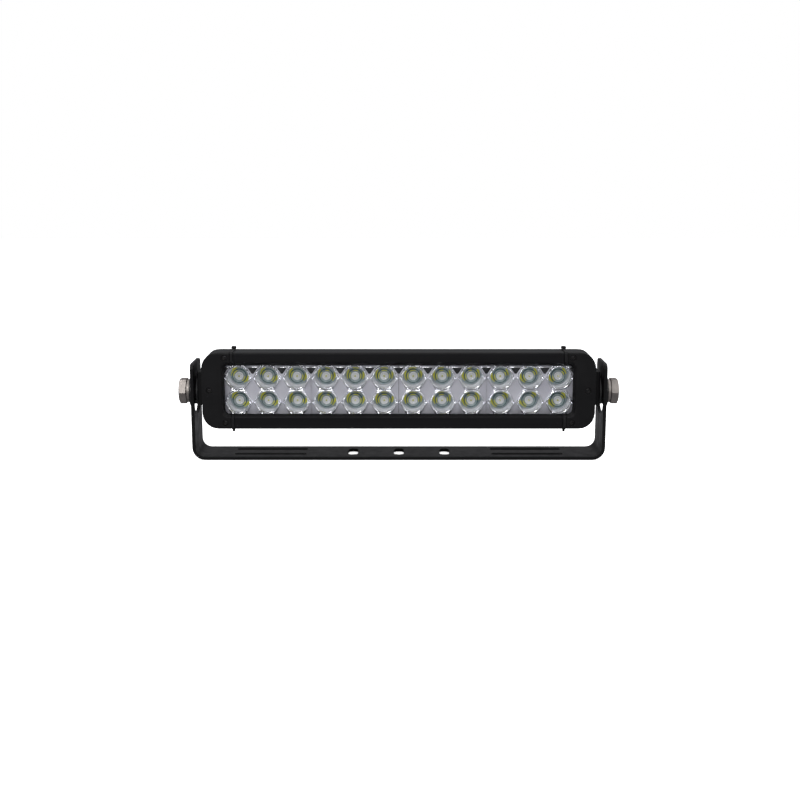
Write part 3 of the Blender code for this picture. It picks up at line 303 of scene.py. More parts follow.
COAT = powder_coat()
CAST = cast_coat()
ANODISED = anodised()
GASKET = rubber("black_silicone_rubber", (0.004, 0.004, 0.0045))
NYLON = nylon()
STEEL = stainless()
ZINC = black_zinc()
CHROME = chrome()
SATIN = satin_metal()
LENS = lens_material()
DOME = dome_material()
# yellow phosphor of the chips, also used for the painted reflections of it on the LED rings
PHOSPHOR_AND_REFLECTION = plain("yellow_phosphor_and_painted_reflection", (0.5, 0.5, 0.02), (0.62, 0.6, 0.04), 0.45, 500.0)
# painted shadow on the reflectors' strips and notches
SHADOW = plain("painted_notch_shadow", (0.002, 0.002, 0.002), (0.004, 0.004, 0.0045), 0.6, 300.0)
TEAL = plain("led_ring", (0.2, 0.25, 0.25), (0.34, 0.4, 0.4), 0.3, 400.0)
RIM = plain("led_rim", (0.02, 0.06, 0.06), (0.05, 0.1, 0.1), 0.3, 400.0)
CERAMIC = plain("led_ceramic", (0.84, 0.85, 0.84), (0.92, 0.93, 0.92), 0.35, 300.0)
SOLDER_MASK = plain("white_solder_mask", (0.7, 0.7, 0.68), (0.8, 0.8, 0.78), 0.4, 200.0)
GREEN_MASK = plain("green_solder_mask", (0.012, 0.13, 0.04), (0.02, 0.2, 0.06), 0.35, 260.0)
PAD = rubber("grey_thermal_pad", (0.3, 0.31, 0.33), 0.75)
COIL = plain("enamelled_copper", (0.42, 0.17, 0.06), (0.62, 0.28, 0.11), 0.3, 700.0, 0.9)
CAN = plain("sleeved_can", (0.02, 0.03, 0.07), (0.035, 0.05, 0.11), 0.3, 300.0)
LEAD = plain("red_silicone", (0.36, 0.012, 0.01), (0.5, 0.02, 0.015), 0.5, 200.0)


# ---------------------------------------------------------------- mesh helpers

def finished(work, name):
    """Turn a bmesh into a mesh, and free it."""
    mesh = bpy.data.meshes.new(name)
    work.to_mesh(mesh)
    work.free()
    return mesh


def new_object(name, mesh, *materials):
    obj = bpy.data.objects.new(name, mesh)
    bpy.context.scene.collection.objects.link(obj)
    if mesh.materials:
        mesh.materials.clear()
    for material in materials:
        mesh.materials.append(material)
    return obj


def settle(name, obj, body, slot, *nodes):
    """Name a finished piece, let it ride on its body, and hide the CAD nodes it stands for."""
    obj.name = name
    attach(obj, body)
    if nodes:
        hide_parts(*nodes)


def smooth(mesh, angle=35):
    mesh.shade_smooth()
    mesh.set_sharp_from_angle(angle=math.radians(angle))
    return mesh


def applied(obj):
    """Apply all modifiers, and keep the result as plain mesh."""
    bpy.context.view_layer.update()
    mesh = bpy.data.meshes.new_from_object(obj.evaluated_get(bpy.context.evaluated_depsgraph_get()))
    obj.modifiers.clear()
    obj.data = mesh
    return obj


def cleaned(node):
    """A copy of a CAD node's mesh with doubles merged and its outer flat faces joined."""
    low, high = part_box(node)
    margin = 1.2 * MM
    work = bmesh.new()
    work.from_mesh(NODES[node].data)
    bmesh.ops.remove_doubles(work, verts=work.verts, dist=2e-6)
    outer = []
    for edge in work.edges:
        middle = (edge.verts[0].co + edge.verts[1].co) / 2
        if any(middle[k] < low[k] + margin or middle[k] > high[k] - margin for k in range(3)):
            outer.append(edge)
    corners = list({vert for edge in outer for vert in edge.verts})
    bmesh.ops.dissolve_limit(work, angle_limit=math.radians(1.0), verts=corners, edges=outer)
    return finished(work, node)


def softened(node, material, width, segments=2, angle=35):
    """A copy of a CAD node with its edges rounded, and its flat faces kept flat."""
    obj = new_object(node + "_soft", cleaned(node), material)
    obj.data.shade_smooth()
    obj.data.set_sharp_from_angle(angle=math.radians(60))
    bevel = obj.modifiers.new("round_edges", "BEVEL")
    bevel.width = width
    bevel.segments = segments
    bevel.limit_method = "ANGLE"
    bevel.angle_limit = math.radians(angle)
    bevel.use_clamp_overlap = False
    bevel.miter_outer = "MITER_ARC"
    bevel.harden_normals = True
    applied(obj)
    obj.data.shade_smooth()
    weigh = obj.modifiers.new("weigh", "WEIGHTED_NORMAL")
    weigh.mode = "FACE_AREA"
    weigh.weight = 50
    weigh.keep_sharp = True
    return applied(obj)


def even_angles(count):
    return [2 * math.pi * i / count for i in range(count)]


def ring(work, row):
    """A closed ring of vertices about Z, from its (radius, height) at even steps round it."""
    return [work.verts.new((radius * math.cos(a), radius * math.sin(a), height))
            for (radius, height), a in zip(row, even_angles(len(row)))]


def walls(work, rings):
    """Faces between closed rings of vertices: one list for each pair of rings."""
    return [[work.faces.new((lower[i - 1], lower[i], upper[i], upper[i - 1])) for i in range(len(lower))]
            for lower, upper in zip(rings, rings[1:])]


def turned(profile, sides=64):
    """Revolve (radius, height) points about Z into a mesh; a point on the axis closes it."""
    work = bmesh.new()
    rings = [ring(work, [(radius, height)] * (1 if radius < 1e-9 else sides))
             for radius, height in profile]
    for lower, upper in zip(rings, rings[1:]):
        for i in range(sides):
            j = (i + 1) % sides
            corners = dict.fromkeys((lower[i % len(lower)], lower[j % len(lower)],
                                     upper[j % len(upper)], upper[i % len(upper)]))
            if len(corners) > 2:
                work.faces.new(list(corners))
    bmesh.ops.recalc_face_normals(work, faces=work.faces)
    return smooth(finished(work, "turned"))


def rounded_block(work, size, centre, radius):
    """Add a block with rounded edges."""
    verts = bmesh.ops.create_cube(work, size=1.0)["verts"]
    bmesh.ops.scale(work, vec=size, verts=verts)
    bmesh.ops.translate(work, vec=centre, verts=verts)
    edges = list(dict.fromkeys(edge for vert in verts for edge in vert.link_edges))
    bmesh.ops.bevel(work, geom=edges, offset=radius, segments=2, profile=0.5, affect="EDGES")


def block_mesh(name, size, centre, radius):
    work = bmesh.new()
    rounded_block(work, size, centre, radius)
    return finished(work, name)


def joined(pieces):
    """One mesh from (mesh, matrix, material index) copies."""
    work = bmesh.new()
    for mesh, matrix, index in pieces:
        copy = mesh.copy()
        copy.transform(matrix)
        before = len(work.faces)
        work.from_mesh(copy)
        work.faces.ensure_lookup_table()
        for face in work.faces[before:]:
            face.material_index = index
        bpy.data.meshes.remove(copy)
    return finished(work, "joined")


def hexagon_reach(half_flats, angle, flat_angle):
    """How far a hexagon reaches from its middle at an angle, with the middle of a flat at flat_angle."""
    turn = (angle - flat_angle) % (math.pi / 3)
    if turn > math.pi / 6:
        turn -= math.pi / 3
    return half_flats / math.cos(turn)


def outward(side):
    """Aim a turned piece's +Z away from the lamp, at the left or right end."""
    return Matrix.Rotation(side * math.pi / 2, 4, "Y")


TO_FRONT = Matrix.Rotation(math.pi / 2, 4, "X")         # aims a turned piece's +Z where the lamp shines


# ---------------------------------------------------------------- camera, floor and light

CAMERA_PITCH = math.radians(11.21)
CAMERA_DISTANCE = 1.0257
CAMERA_TARGET = Vector((1.1 * MM, PIVOT.y - 20 * MM, 52.94 * MM))

SKY = ((0.0, 0.5), (0.3, 0.2), (0.46, 0.04), (0.6, 0.1), (0.72, 0.7), (0.85, 1.0), (1.0, 0.6))
SIDE_GLOW = ((0.4, 0.0), (0.75, 0.9))

# name, place, width and height, watts
SOFTBOXES = (("key", (-0.6, -0.9, 1.0), (0.5, 0.3), 6.0),
             ("front", (-0.15, -1.5, 0.62), (0.5, 0.3), 7.0),
             ("fill", (0.9, -0.8, 0.7), (0.3, 0.6), 3.0),
             ("top", (0.0, 0.1, 1.3), (1.6, 0.6), 6.0),
             ("rim", (1.0, 0.5, 0.4), (0.4, 0.4), 4.0))
LAMP_MIDDLE = Vector((0, 0, 0.06))


def aim(name, data, place, target):
    """Put a light or camera at a place, facing its target."""
    obj = bpy.data.objects.new(name, data)
    bpy.context.scene.collection.objects.link(obj)
    obj.location = place
    obj.rotation_euler = (target - Vector(place)).to_track_quat("-Z", "Y").to_euler()
    return obj


def camera():
    lens = bpy.data.cameras.new("camera")
    lens.lens = 54.0
    lens.sensor_width = 36.0
    lens.clip_start = 0.01
    back = Vector((0, -math.cos(CAMERA_PITCH), math.sin(CAMERA_PITCH)))
    bpy.context.scene.camera = aim("camera", lens, CAMERA_TARGET + CAMERA_DISTANCE * back, CAMERA_TARGET)


def softboxes():
    for name, place, size, power in SOFTBOXES:
        light = bpy.data.lights.new(name, "AREA")
        light.shape = "RECTANGLE"
        light.size, light.size_y = size
        light.energy = power
        aim(name, light, place, LAMP_MIDDLE)


def surroundings():
    """What the lamp mirrors: dark at the horizon, bright above, a glow at both sides.

    The camera itself sees plain white behind the lamp.
    """
    world = bpy.data.worlds.new("studio")
    world.use_nodes = True
    tree = world.node_tree
    shade = tree.nodes["Background"]
    shade.inputs["Strength"].default_value = 1.0
    place = tree.nodes.new("ShaderNodeTexCoord")
    split = tree.nodes.new("ShaderNodeSeparateXYZ")
    tree.links.new(place.outputs["Generated"], split.inputs["Vector"])

    heights = tree.nodes.new("ShaderNodeMapRange")
    heights.inputs["From Min"].default_value = -1.0
    sky = tree.nodes.new("ShaderNodeValToRGB")
    set_stops(sky, [(position, (grey, grey, grey * 1.04)) for position, grey in SKY])
    tree.links.new(split.outputs["Z"], heights.inputs["Value"])
    tree.links.new(heights.outputs["Result"], sky.inputs["Fac"])

    sides = tree.nodes.new("ShaderNodeMath")
    sides.operation = "ABSOLUTE"
    glow = tree.nodes.new("ShaderNodeValToRGB")
    set_stops(glow, SIDE_GLOW)
    tree.links.new(split.outputs["X"], sides.inputs[0])
    tree.links.new(sides.outputs["Value"], glow.inputs["Fac"])

    # inputs 0, 6 and 7 and output 2 are the factor and colours of a colour mix
    lighter = tree.nodes.new("ShaderNodeMix")
    lighter.data_type = "RGBA"
    lighter.blend_type = "LIGHTEN"
    lighter.inputs[0].default_value = 1.0
    tree.links.new(sky.outputs["Color"], lighter.inputs[6])
    tree.links.new(glow.outputs["Color"], lighter.inputs[7])
    tree.links.new(lighter.outputs[2], shade.inputs["Color"])

    white = tree.nodes.new("ShaderNodeBackground")
    white.inputs["Color"].default_value = (1.0, 1.0, 1.0, 1.0)
    seen_by_camera(tree, white.outputs["Background"], shade.outputs["Background"],
                   tree.nodes["World Output"].inputs["Surface"])
    bpy.context.scene.world = world


def pale_floor():
    """A floor that is nearly white to the camera, and a dimmer grey in reflections."""
    work = bmesh.new()
    bmesh.ops.create_grid(work, x_segments=4, y_segments=4, size=3.0)
    made = Nodes("pale_floor")
    made.set(Base_Color=made.blend(made.noise(2.0), 0.88, 0.9, 0.0, 1.0),
             Roughness=0.9, Specular_IOR_Level=0.0,
             Emission_Color=(1.0, 1.0, 1.0, 1.0), Emission_Strength=0.82)
    dim = made.tree.nodes.new("ShaderNodeBsdfDiffuse")
    dim.inputs["Color"].default_value = (0.3, 0.3, 0.31, 1.0)
    seen_by_camera(made.tree, made.shader.outputs["BSDF"], dim.outputs["BSDF"],
                   made.tree.nodes["Material Output"].inputs["Surface"])
    floor = new_object("floor", finished(work, "floor"), made.material)
    floor.location.z = cad_low.z - 0.3 * MM


def studio():
    view = bpy.context.scene.view_settings
    view.view_transform = "Standard"
    view.look = "None"
    surroundings()
    pale_floor()
    softboxes()


# ---------------------------------------------------------------- bracket, housing and ends

def bracket():
    obj = softened("bracket", COAT, 0.45 * MM, segments=3)
    settle("bracket_bar", obj, "bracket", "powder_coat", "bracket")


def housing():
    obj = softened("housing", ANODISED, 0.3 * MM)
    settle("housing_extrusion", obj, "lamp", "anodised_housing", "housing")


def ends():
    for side, name in SIDES:
        cap = softened("end_cap_" + name, CAST, 0.4 * MM)
        settle("cap_" + name, cap, "lamp", "coated_casting", "end_cap_" + name)
        seal = softened("end_gasket_" + name, GASKET, 0.35 * MM)
        settle("gasket_" + name, seal, "lamp", "black_rubber", "end_gasket_" + name)


# ---------------------------------------------------------------- reflectors

# the third index is painted shadow, for the strips and notches
MIRROR, PLATE, PAINTED_SHADE = range(3)  # material indexes of a reflector module
CUP_MOUTH = 9.2 * MM            # a cup's radius where its bowl starts
THROAT = 6.0 * MM               # and where the bowl ends, round the LED
BOWL_START = 1.8 * MM           # depth of the bowl's mouth, behind the module's front
FLOOR_WALL = 0.4 * MM           # what is left behind the throat
PLATE_DEPTH = 2.6 * MM          # depth of the satin plates between the hexagons
STRIP_DEPTH = 0.4 * MM          # depth of the strips above and below the cups, painted dark as shade
STEP = 0.15 * MM                # small step at the hexagons' edges and the modules' ends

# Millimetres over a cup's rim, outwards: radius, depth
RIM_PROFILE = ((9.3, 1.7), (9.4, 1.3), (9.5, 1.22), (9.62, 1.15), (9.75, 0.7), (9.88, 0.35),
               (10.0, 0.12), (10.14, 0.0), (10.28, 0.05), (10.4, 0.25), (10.45, 0.5))
RIM_OUTSIDE = 10.48 * MM
# Millimetres over the hexagon's raised border, outwards: inset from its edge, depth
BORDER_PROFILE = ((1.0, 0.75), (0.8, 0.7), (0.66, 0.15), (0.55, 0.03), (0.3, 0.03), (0.15, 0.15))


def hexagon_edge(angle, inset):
    """How far the hexagon round a cup reaches from the cup's middle; it is as high as the row pitch."""
    return hexagon_reach(ROW_PITCH / 2 - inset, angle, math.pi / 2)


def cell_edge(angle):
    """How far a cup's rectangular cell reaches from the cup's middle."""
    across = LED_PITCH / 2 / max(abs(math.cos(angle)), 1e-9)
    along = ROW_PITCH / 2 / max(abs(math.sin(angle)), 1e-9)
    return min(across, along)


def cell_angles(steps=96):
    """Angles round a cup, with the corners of its hexagon and of its cell among them."""
    corner = math.atan2(ROW_PITCH, LED_PITCH)
    exact = [i * math.pi / 3 for i in range(6)]
    exact += [corner, math.pi - corner, math.pi + corner, 2 * math.pi - corner]
    clear = 0.3 * 2 * math.pi / steps
    return sorted(exact + [a for a in even_angles(steps) if min(abs(a - e) for e in exact) > clear])


def bowl(depth, steps=16):
    """Parabolic (radius, depth) points from a bowl's throat to its mouth."""
    points = []
    for step in range(steps, -1, -1):
        radius = CUP_MOUTH + (THROAT - CUP_MOUTH) * step / steps
        share = (radius ** 2 - THROAT ** 2) / (CUP_MOUTH ** 2 - THROAT ** 2)
        points.append((radius, depth * (1 - share)))
    return points


def cup_rings(angles, deep):
    """Rings of (radius, depth) from a cup's throat, over its rim, to the edge of its cell."""
    rings = [[(radius, depth + BOWL_START)] * len(angles)
             for radius, depth in bowl(deep - BOWL_START - FLOOR_WALL)]
    rings += [[(radius * MM, depth * MM)] * len(angles) for radius, depth in RIM_PROFILE]
    rings += [[(max(hexagon_edge(a, inset * MM), RIM_OUTSIDE), depth * MM) for a in angles]
              for inset, depth in BORDER_PROFILE]
    rings = [[(min(radius, cell_edge(a)), depth) for (radius, depth), a in zip(row, angles)]
             for row in rings]
    foot = []
    edge = []
    for a in angles:
        reach = cell_edge(a)
        start = min(hexagon_edge(a, -STEP), reach)
        sunk = PLATE_DEPTH if reach - start > 0.05 * MM else STEP
        foot.append((start, sunk))
        edge.append((reach, sunk))
    return rings + [foot, edge]


def cup(work, rings, angles, x, level, front):
    """One cup in its cell; the outermost row of faces is the satin plate."""
    verts = [[work.verts.new(at(x + radius * math.cos(a), front + depth, level + radius * math.sin(a)))
              for (radius, depth), a in zip(row, angles)] for row in rings]
    for face in walls(work, verts)[-1]:
        face.material_index = PLATE


def sheet(work, front, points, index):
    """One flat face of a module, through points given as x, depth behind its front, and level."""
    face = work.faces.new([work.verts.new(at(x, front + depth, level)) for x, depth, level in points])
    face.material_index = index


def surround(work, front, left, right, low, high, deep):
    """A module's strips above and below its cups, painted dark as shade, its top and bottom, and its two
    ends.
    """
    rows_top = ROW_PITCH - OPTICS_DROP
    rows_bottom = -ROW_PITCH - OPTICS_DROP
    for near, far in ((rows_top, high), (rows_bottom, low)):
        strip_near = (STRIP_DEPTH, near)
        strip_far = (STRIP_DEPTH, far)
        # the strips above and below the cups are painted dark as shade
        for start, stop, index in ((strip_near, strip_far, PAINTED_SHADE), (strip_near, (PLATE_DEPTH, near), PAINTED_SHADE),
                                   (strip_far, (deep, far), MIRROR)):
            sheet(work, front, [(left, *start), (right, *start), (right, *stop), (left, *stop)], index)
    for x in (left, right):
        sheet(work, front, [(x, 0.0, low), (x, 0.0, high), (x, deep, high), (x, deep, low)], MIRROR)


def bars_and_notch_shadows(work, left, columns, front):
    """Between the upper cups: a stiffening bar near the top edge, and below it a flat notch-shaped sheet
    painted black as shadow.
    """
    row = LED_LEVELS[-1]
    bar_low = row + 8.6 * MM
    bar_high = row + 9.3 * MM
    bar_half = 5.6 * MM
    notch_top = bar_low - 0.2 * MM
    notch_half = 4.4 * MM
    tip = row + 3.2 * MM
    tip_half = 0.8 * MM
    depth = PLATE_DEPTH - 0.12 * MM
    for step in range(columns + 1):
        x = left + step * LED_PITCH
        start = 0 if step == 0 else -1
        stop = 0 if step == columns else 1
        size = ((stop - start) * bar_half, 1.2 * MM, bar_high - bar_low)
        centre = at(x + (start + stop) / 2 * bar_half, front + 1.3 * MM, (bar_low + bar_high) / 2)
        rounded_block(work, size, centre, 0.2 * MM)
        # a flat black sheet: painted shadow in the notch between the cups
        outline = [(x + start * notch_half, depth, notch_top), (x + stop * notch_half, depth, notch_top),
                   (x + stop * tip_half, depth, tip), (x + start * tip_half, depth, tip)]
        sheet(work, front, outline, PAINTED_SHADE)


def reflector_modules():
    """Chromed blocks of six cups; each cup stands in a raised hexagon, with satin plates between."""
    low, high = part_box("reflector_1")
    front = low.y - FACE_Y
    deep = high.y - low.y
    angles = cell_angles()
    rings = cup_rings(angles, deep)
    columns = COLUMNS // MODULES
    for module in range(MODULES):
        left = (module - MODULES / 2) * LED_PITCH * columns
        right = left + LED_PITCH * columns
        work = bmesh.new()
        for column in range(columns):
            for level in LED_LEVELS:
                cup(work, rings, angles, left + (column + 0.5) * LED_PITCH, level, front)
        bmesh.ops.remove_doubles(work, verts=work.verts, dist=4e-6)
        surround(work, front, left, right, low.z - MIDDLE_Z, high.z - MIDDLE_Z, deep)
        for vert in work.verts:
            vert.co.x = min(max(vert.co.x, left + STEP), right - STEP)
        bmesh.ops.recalc_face_normals(work, faces=work.faces)
        bars_and_notch_shadows(work, left, columns, front)
        obj = new_object("reflector", smooth(finished(work, "reflector"), 40), CHROME, SATIN, SHADOW)
        node = "reflector_%d" % (module + 1)
        settle("reflector_module_%d" % (module + 1), obj, "lamp", "chrome_reflector", node)


# ---------------------------------------------------------------- LEDs, boards and lens

BOARD_THICKNESS = 1.6 * MM
RING_LEVEL = 0.9 * MM           # the dark ring's top, in front of the board
BASE_RADIUS = 3.5 * MM
DOME_RADIUS = 3.15 * MM
DOME_BASE = 1.8 * MM

# Yellow arcs on the ring, painted reflections of the phosphor, seen from the front: middle and half width in
# degrees
UPPER_LEFT_ARC = (145, 34)
LOWER_RIGHT_ARC = (-28, 26)
MIDDLE_COLUMN_ARC = (60, 30)    # only near the lamp's middle columns, narrower away from them
LEAST_HALF = 8                  # an arc with less than this is left out


def led_places(side):
    """(column, x, level) of the LEDs on one side's board."""
    middle = (COLUMNS - 1) / 2
    return [(column, (column - middle) * LED_PITCH, level)
            for column in range(COLUMNS) for level in LED_LEVELS if (column - middle) * side > 0]


def painted_reflection_arc(middle, half):
    """A raised yellow arc on the LED's ring, narrower towards its ends: a painted reflection of the
    phosphor.
    """
    work = bmesh.new()
    steps = 18
    profile = ((4.45, 0.9), (4.6, 1.2), (5.2, 1.2), (5.35, 0.9))
    centre = (profile[0][0] + profile[-1][0]) / 2
    rows = []
    for i in range(steps + 1):
        a = middle - half + 2 * half * i / steps
        narrow = 1.0 - 0.5 * abs(2 * i / steps - 1) ** 3
        reaches = [(centre + (radius - centre) * narrow) * MM for radius, height in profile]
        rows.append([work.verts.new((reach * math.cos(a), reach * math.sin(a), height * MM))
                     for reach, (radius, height) in zip(reaches, profile)])
    for before, after in zip(rows, rows[1:]):
        for k in range(len(profile) - 1):
            work.faces.new((before[k], before[k + 1], after[k + 1], after[k]))
    bmesh.ops.recalc_face_normals(work, faces=work.faces)
    return smooth(finished(work, "painted_reflection_arc"))


def led_parts():
    """One LED's dark ring, its rim, ceramic base, clear dome and chip, standing on the origin."""
    flat_ring = turned([(BASE_RADIUS, RING_LEVEL), (5.5 * MM, RING_LEVEL)], 56)
    rim = turned([(5.5 * MM, RING_LEVEL), (6.2 * MM, 0.85 * MM), (6.35 * MM, 0.7 * MM), (6.4 * MM, 0.0)], 56)
    base = turned([(0, 1.9 * MM), (2.9 * MM, 1.9 * MM), (3.3 * MM, 1.75 * MM), (3.45 * MM, 1.4 * MM),
                   (BASE_RADIUS, 0)], 48)
    slopes = [math.pi / 2 * step / 14 for step in range(15)]
    dome = turned([(DOME_RADIUS * math.sin(a), DOME_BASE + DOME_RADIUS * math.cos(a)) for a in slopes], 48)
    chip = block_mesh("chip", (1.5 * MM, 1.5 * MM, 0.4 * MM), (0, 0, 2.05 * MM), 0.12 * MM)
    return flat_ring, rim, base, dome, chip


def led_boards():
    """Boards with their LEDs: dark ring with yellow arcs that are painted reflections of the phosphor,
    ceramic base, chip and clear dome.
    """
    random.seed(4)
    flat_ring, rim, base, dome, chip = led_parts()
    for side, name in SIDES:
        node = "led_board_" + name
        low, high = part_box(node)
        front = high.y - BOARD_THICKNESS
        size = (high.x - low.x, BOARD_THICKNESS, high.z - low.z)
        centre = ((low.x + high.x) / 2, front + BOARD_THICKNESS / 2, (low.z + high.z) / 2)
        slab = block_mesh("slab", size, centre, 0.25 * MM)
        settle("board_" + name, new_object("board", smooth(slab), SOLDER_MASK), "lamp", "board_white", node)

        pieces = []
        domes = []
        for column, x, level in led_places(side):
            place = Matrix.Translation(Vector((x, front, MIDDLE_Z + level))) @ TO_FRONT
            turn = Matrix.Rotation(math.radians(random.uniform(-6, 6)), 4, "Z")
            pieces += [(flat_ring, place, 2), (rim, place, 3), (base, place, 0), (chip, place @ turn, 1)]
            # the yellow arcs are painted reflections, so they turn a little from column to column
            swing = 6.5 * column + random.uniform(-10, 10)
            nearness = math.exp(-((column - (COLUMNS - 1) / 2) / 3) ** 2)
            between = (MIDDLE_COLUMN_ARC[0], MIDDLE_COLUMN_ARC[1] * nearness)
            for middle, half in (UPPER_LEFT_ARC, LOWER_RIGHT_ARC, between):
                if half > LEAST_HALF:
                    half += random.uniform(-5, 5)
                    arc = painted_reflection_arc(math.radians(middle + swing), math.radians(half))
                    pieces.append((arc, place, 1))
            domes.append((dome, place, 0))
        emitters = new_object("emitters", smooth(joined(pieces)), CERAMIC, PHOSPHOR_AND_REFLECTION, TEAL, RIM)
        settle("led_emitters_" + name, emitters, "lamp", "board_white")
        beads = new_object("domes", smooth(joined(domes)), DOME)
        settle("led_domes_" + name, beads, "lamp", "clear_lens")


def lens():
    obj = softened("front_lens", LENS, 0.3 * MM)
    settle("lens_pane", obj, "lamp", "clear_lens", "front_lens")
    seal = softened("lens_seal", GASKET, 0.15 * MM)
    settle("lens_gasket", seal, "lamp", "black_rubber", "lens_seal")


# ---------------------------------------------------------------- screws, bolts and washers

BOLT_RADIUS = 6.0 * MM
BOLT_HEAD = 6.4 * MM            # height of the pivot bolts' heads
BOLT_BORE = 6.3 * MM            # radius of the hole in washers and spacers
THREAD_PITCH = 1.75 * MM
CAP_HEAD = 1.6 * MM             # height of the heads of the screws in the front
TIE_HEAD = 3.0 * MM             # and of the screws in the ends


def hex_head(flats, height):
    """A hexagon head standing on the origin, its top corners turned down to a chamfer."""
    crown = flats / 2 * 0.95
    slope = math.tan(math.radians(28))
    reaches = [hexagon_reach(flats / 2, a, math.pi / 6) for a in even_angles(72)]

    def top_of(radius):
        return height - max(0.0, radius - crown) * slope

    rows = [[(crown, 0.0) for reach in reaches],
            [(reach - 0.15 * MM, 0.0) for reach in reaches],
            [(reach, 0.15 * MM) for reach in reaches],
            [(reach, top_of(reach) - 0.12 * MM) for reach in reaches],
            [(reach - 0.1 * MM, top_of(reach)) for reach in reaches],
            [(crown, height) for reach in reaches],
            [(crown * 0.55, height) for reach in reaches]]
    work = bmesh.new()
    rings = [ring(work, row) for row in rows]
    walls(work, rings)
    work.faces.new(list(reversed(rings[0])))
    work.faces.new(rings[-1])
    bmesh.ops.recalc_face_normals(work, faces=work.faces)
    return smooth(finished(work, "hex_head"), 24)


def threaded_shank(length):
    """A bolt's shank below the origin: a plain neck, thread grooves and a chamfered tip."""
    neck = 3.5 * MM
    profile = [(0, 0.2 * MM), (BOLT_RADIUS, 0.2 * MM), (BOLT_RADIUS, -neck)]
    z = neck
    while z + THREAD_PITCH < length - 1.2 * MM:
        profile += [(BOLT_RADIUS - 0.1 * MM, -z), (BOLT_RADIUS - 0.95 * MM, -z - THREAD_PITCH / 2)]
        z += THREAD_PITCH
    profile += [(BOLT_RADIUS - 0.4 * MM, -length + 1.0 * MM), (BOLT_RADIUS - 1.1 * MM, -length),
                (0, -length)]
    return turned(profile, 40)


def on_axis(mesh, side, x, turn=0.0):
    """Move a piece made about Z onto the pivot axis, its +Z outward, at x from the lamp's middle."""
    mesh.transform(Matrix.Translation((side * x, PIVOT.y, PIVOT.z)) @ outward(side)
                   @ Matrix.Rotation(turn, 4, "Z"))
    return mesh


def span(node):
    """Where a node on the pivot axis starts and ends, from the lamp's middle, and its radius."""
    low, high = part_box(node)
    inner, outer = sorted((abs(low.x), abs(high.x)))
    return inner, outer, (high.z - low.z) / 2


def pivots():
    """Bolts, washers and spacers on the pivot axis."""
    for side, name in SIDES:
        inner, outer, radius = span("pivot_bolt_" + name)
        seat = outer - BOLT_HEAD
        head = hex_head(2 * radius, BOLT_HEAD)
        shank = threaded_shank(seat - inner)
        bolt = smooth(joined([(head, Matrix.Identity(4), 0), (shank, Matrix.Identity(4), 0)]), 24)
        obj = new_object("bolt", on_axis(bolt, side, seat, math.pi / 6), STEEL)
        settle("bolt_" + name, obj, "lamp", "stainless", "pivot_bolt_" + name)

        inner, outer, radius = span("flat_washer_" + name)
        height = outer - inner
        rim = 0.45 * MM
        washer = turned([(BOLT_BORE, 0), (radius - rim, 0), (radius - rim * 0.3, rim * 0.3), (radius, rim),
                         (radius, height - rim), (radius - rim * 0.3, height - rim * 0.3),
                         (radius - rim, height), (BOLT_BORE, height), (BOLT_BORE, 0)], 72)
        obj = new_object("washer", on_axis(washer, side, inner), ZINC)
        settle("washer_" + name, obj, "lamp", "black_steel", "flat_washer_" + name)

        inner, outer, radius = span("pivot_spacer_" + name)
        height = outer - inner
        rim = 0.35 * MM
        spacer = turned([(BOLT_BORE, 0), (radius - rim, 0), (radius, rim), (radius, height - rim),
                         (radius - rim, height), (BOLT_BORE, height), (BOLT_BORE, 0)], 72)
        obj = new_object("spacer", on_axis(spacer, side, inner), NYLON)
        settle("spacer_" + name, obj, "lamp", "black_plastic", "pivot_spacer_" + name)

        spring = softened("spring_washer_" + name, STEEL, 0.2 * MM)
        settle("lock_washer_" + name, spring, "lamp", "stainless", "spring_washer_" + name)


def socket_screw(radius, height, shank, length):
    """A screw whose head stands on the origin, with a rounded rim and a hexagon socket."""
    sides = 48
    socket = [hexagon_reach(radius * 0.95 / 2, a, math.pi / 6) for a in even_angles(sides)]
    rows = [[point] * sides for point in (
        (radius * 0.98, 0), (radius, 0.1 * MM), (radius, height - 0.35 * MM),
        (radius - 0.12 * MM, height - 0.12 * MM), (radius - 0.35 * MM, height))]
    rows += [[(reach * scale, z) for reach in socket]
             for z, scale in ((height, 1.12), (height - 0.12 * MM, 1.0), (height * 0.35, 1.0))]
    work = bmesh.new()
    head = [ring(work, row) for row in rows]
    walls(work, head)
    work.faces.new(head[-1])
    shaft = [ring(work, [point] * sides) for point in (
        (shank, 0), (shank, -length + 0.4 * MM), (shank * 0.7, -length))]
    walls(work, [head[0]] + shaft)
    work.faces.new(shaft[-1])
    bmesh.ops.recalc_face_normals(work, faces=work.faces)
    return smooth(finished(work, "socket_screw"), 30)


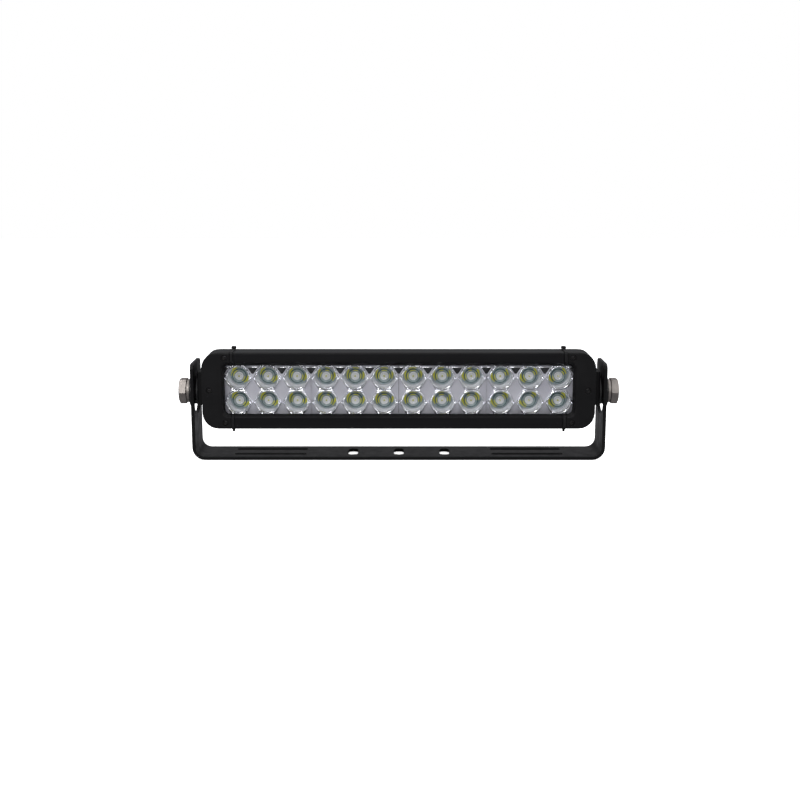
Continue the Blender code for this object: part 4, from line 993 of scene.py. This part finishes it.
def screws():
    """Screws in the front faces of the end caps, and tie screws in their ends."""
    for side, name in SIDES:
        for place in ("upper", "middle", "lower"):
            node = "cap_screw_%s_%s" % (name, place)
            low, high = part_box(node)
            middle = (low + high) / 2
            mesh = socket_screw((high.x - low.x) / 2, CAP_HEAD, 1.25 * MM, high.y - low.y - CAP_HEAD)
            mesh.transform(Matrix.Translation((middle.x, low.y + CAP_HEAD, middle.z)) @ TO_FRONT)
            obj = new_object("screw", mesh, ZINC)
            settle("face_screw_%s_%s" % (name, place), obj, "lamp", "black_steel", node)
        for place in ("upper", "lower"):
            node = "tie_screw_%s_%s" % (name, place)
            low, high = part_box(node)
            middle = (low + high) / 2
            outer = max(abs(low.x), abs(high.x))
            mesh = socket_screw((high.z - low.z) / 2, TIE_HEAD, 1.7 * MM, high.x - low.x - TIE_HEAD)
            seat = Matrix.Translation((side * (outer - TIE_HEAD), middle.y, middle.z))
            mesh.transform(seat @ outward(side))
            obj = new_object("screw", mesh, ZINC)
            settle("side_screw_%s_%s" % (name, place), obj, "lamp", "black_steel", node)


def rear_fittings():
    for node, name, width in (("gland_body", "gland_collar", 0.25 * MM),
                              ("gland_nut", "gland_clamp_nut", 0.3 * MM),
                              ("breather_vent", "vent_cap", 0.3 * MM)):
        settle(name, softened(node, NYLON, width, angle=25), "lamp", "black_plastic", node)


CARRIED = (("gland_seal", GASKET), ("gland_lock_nut", ZINC), ("board_screw", STEEL), ("thermal_pad", PAD),
           ("thread_insert", STEEL), ("lens_clamp", STEEL), ("driver_board", GREEN_MASK),
           ("driver_inductor", COIL), ("driver_capacitor", CAN), ("driver_terminal", NYLON),
           ("led_lead", LEAD))


def carried_nodes():
    """The hidden inner parts keep their CAD shape and get a finish of their own."""
    for node, obj in NODES.items():
        for start, material in CARRIED:
            if node.startswith(start):
                for slot in obj.material_slots:
                    slot.material = material


camera()
studio()
bracket()
housing()
ends()
reflector_modules()
led_boards()
lens()
pivots()
screws()
rear_fittings()
carried_nodes()
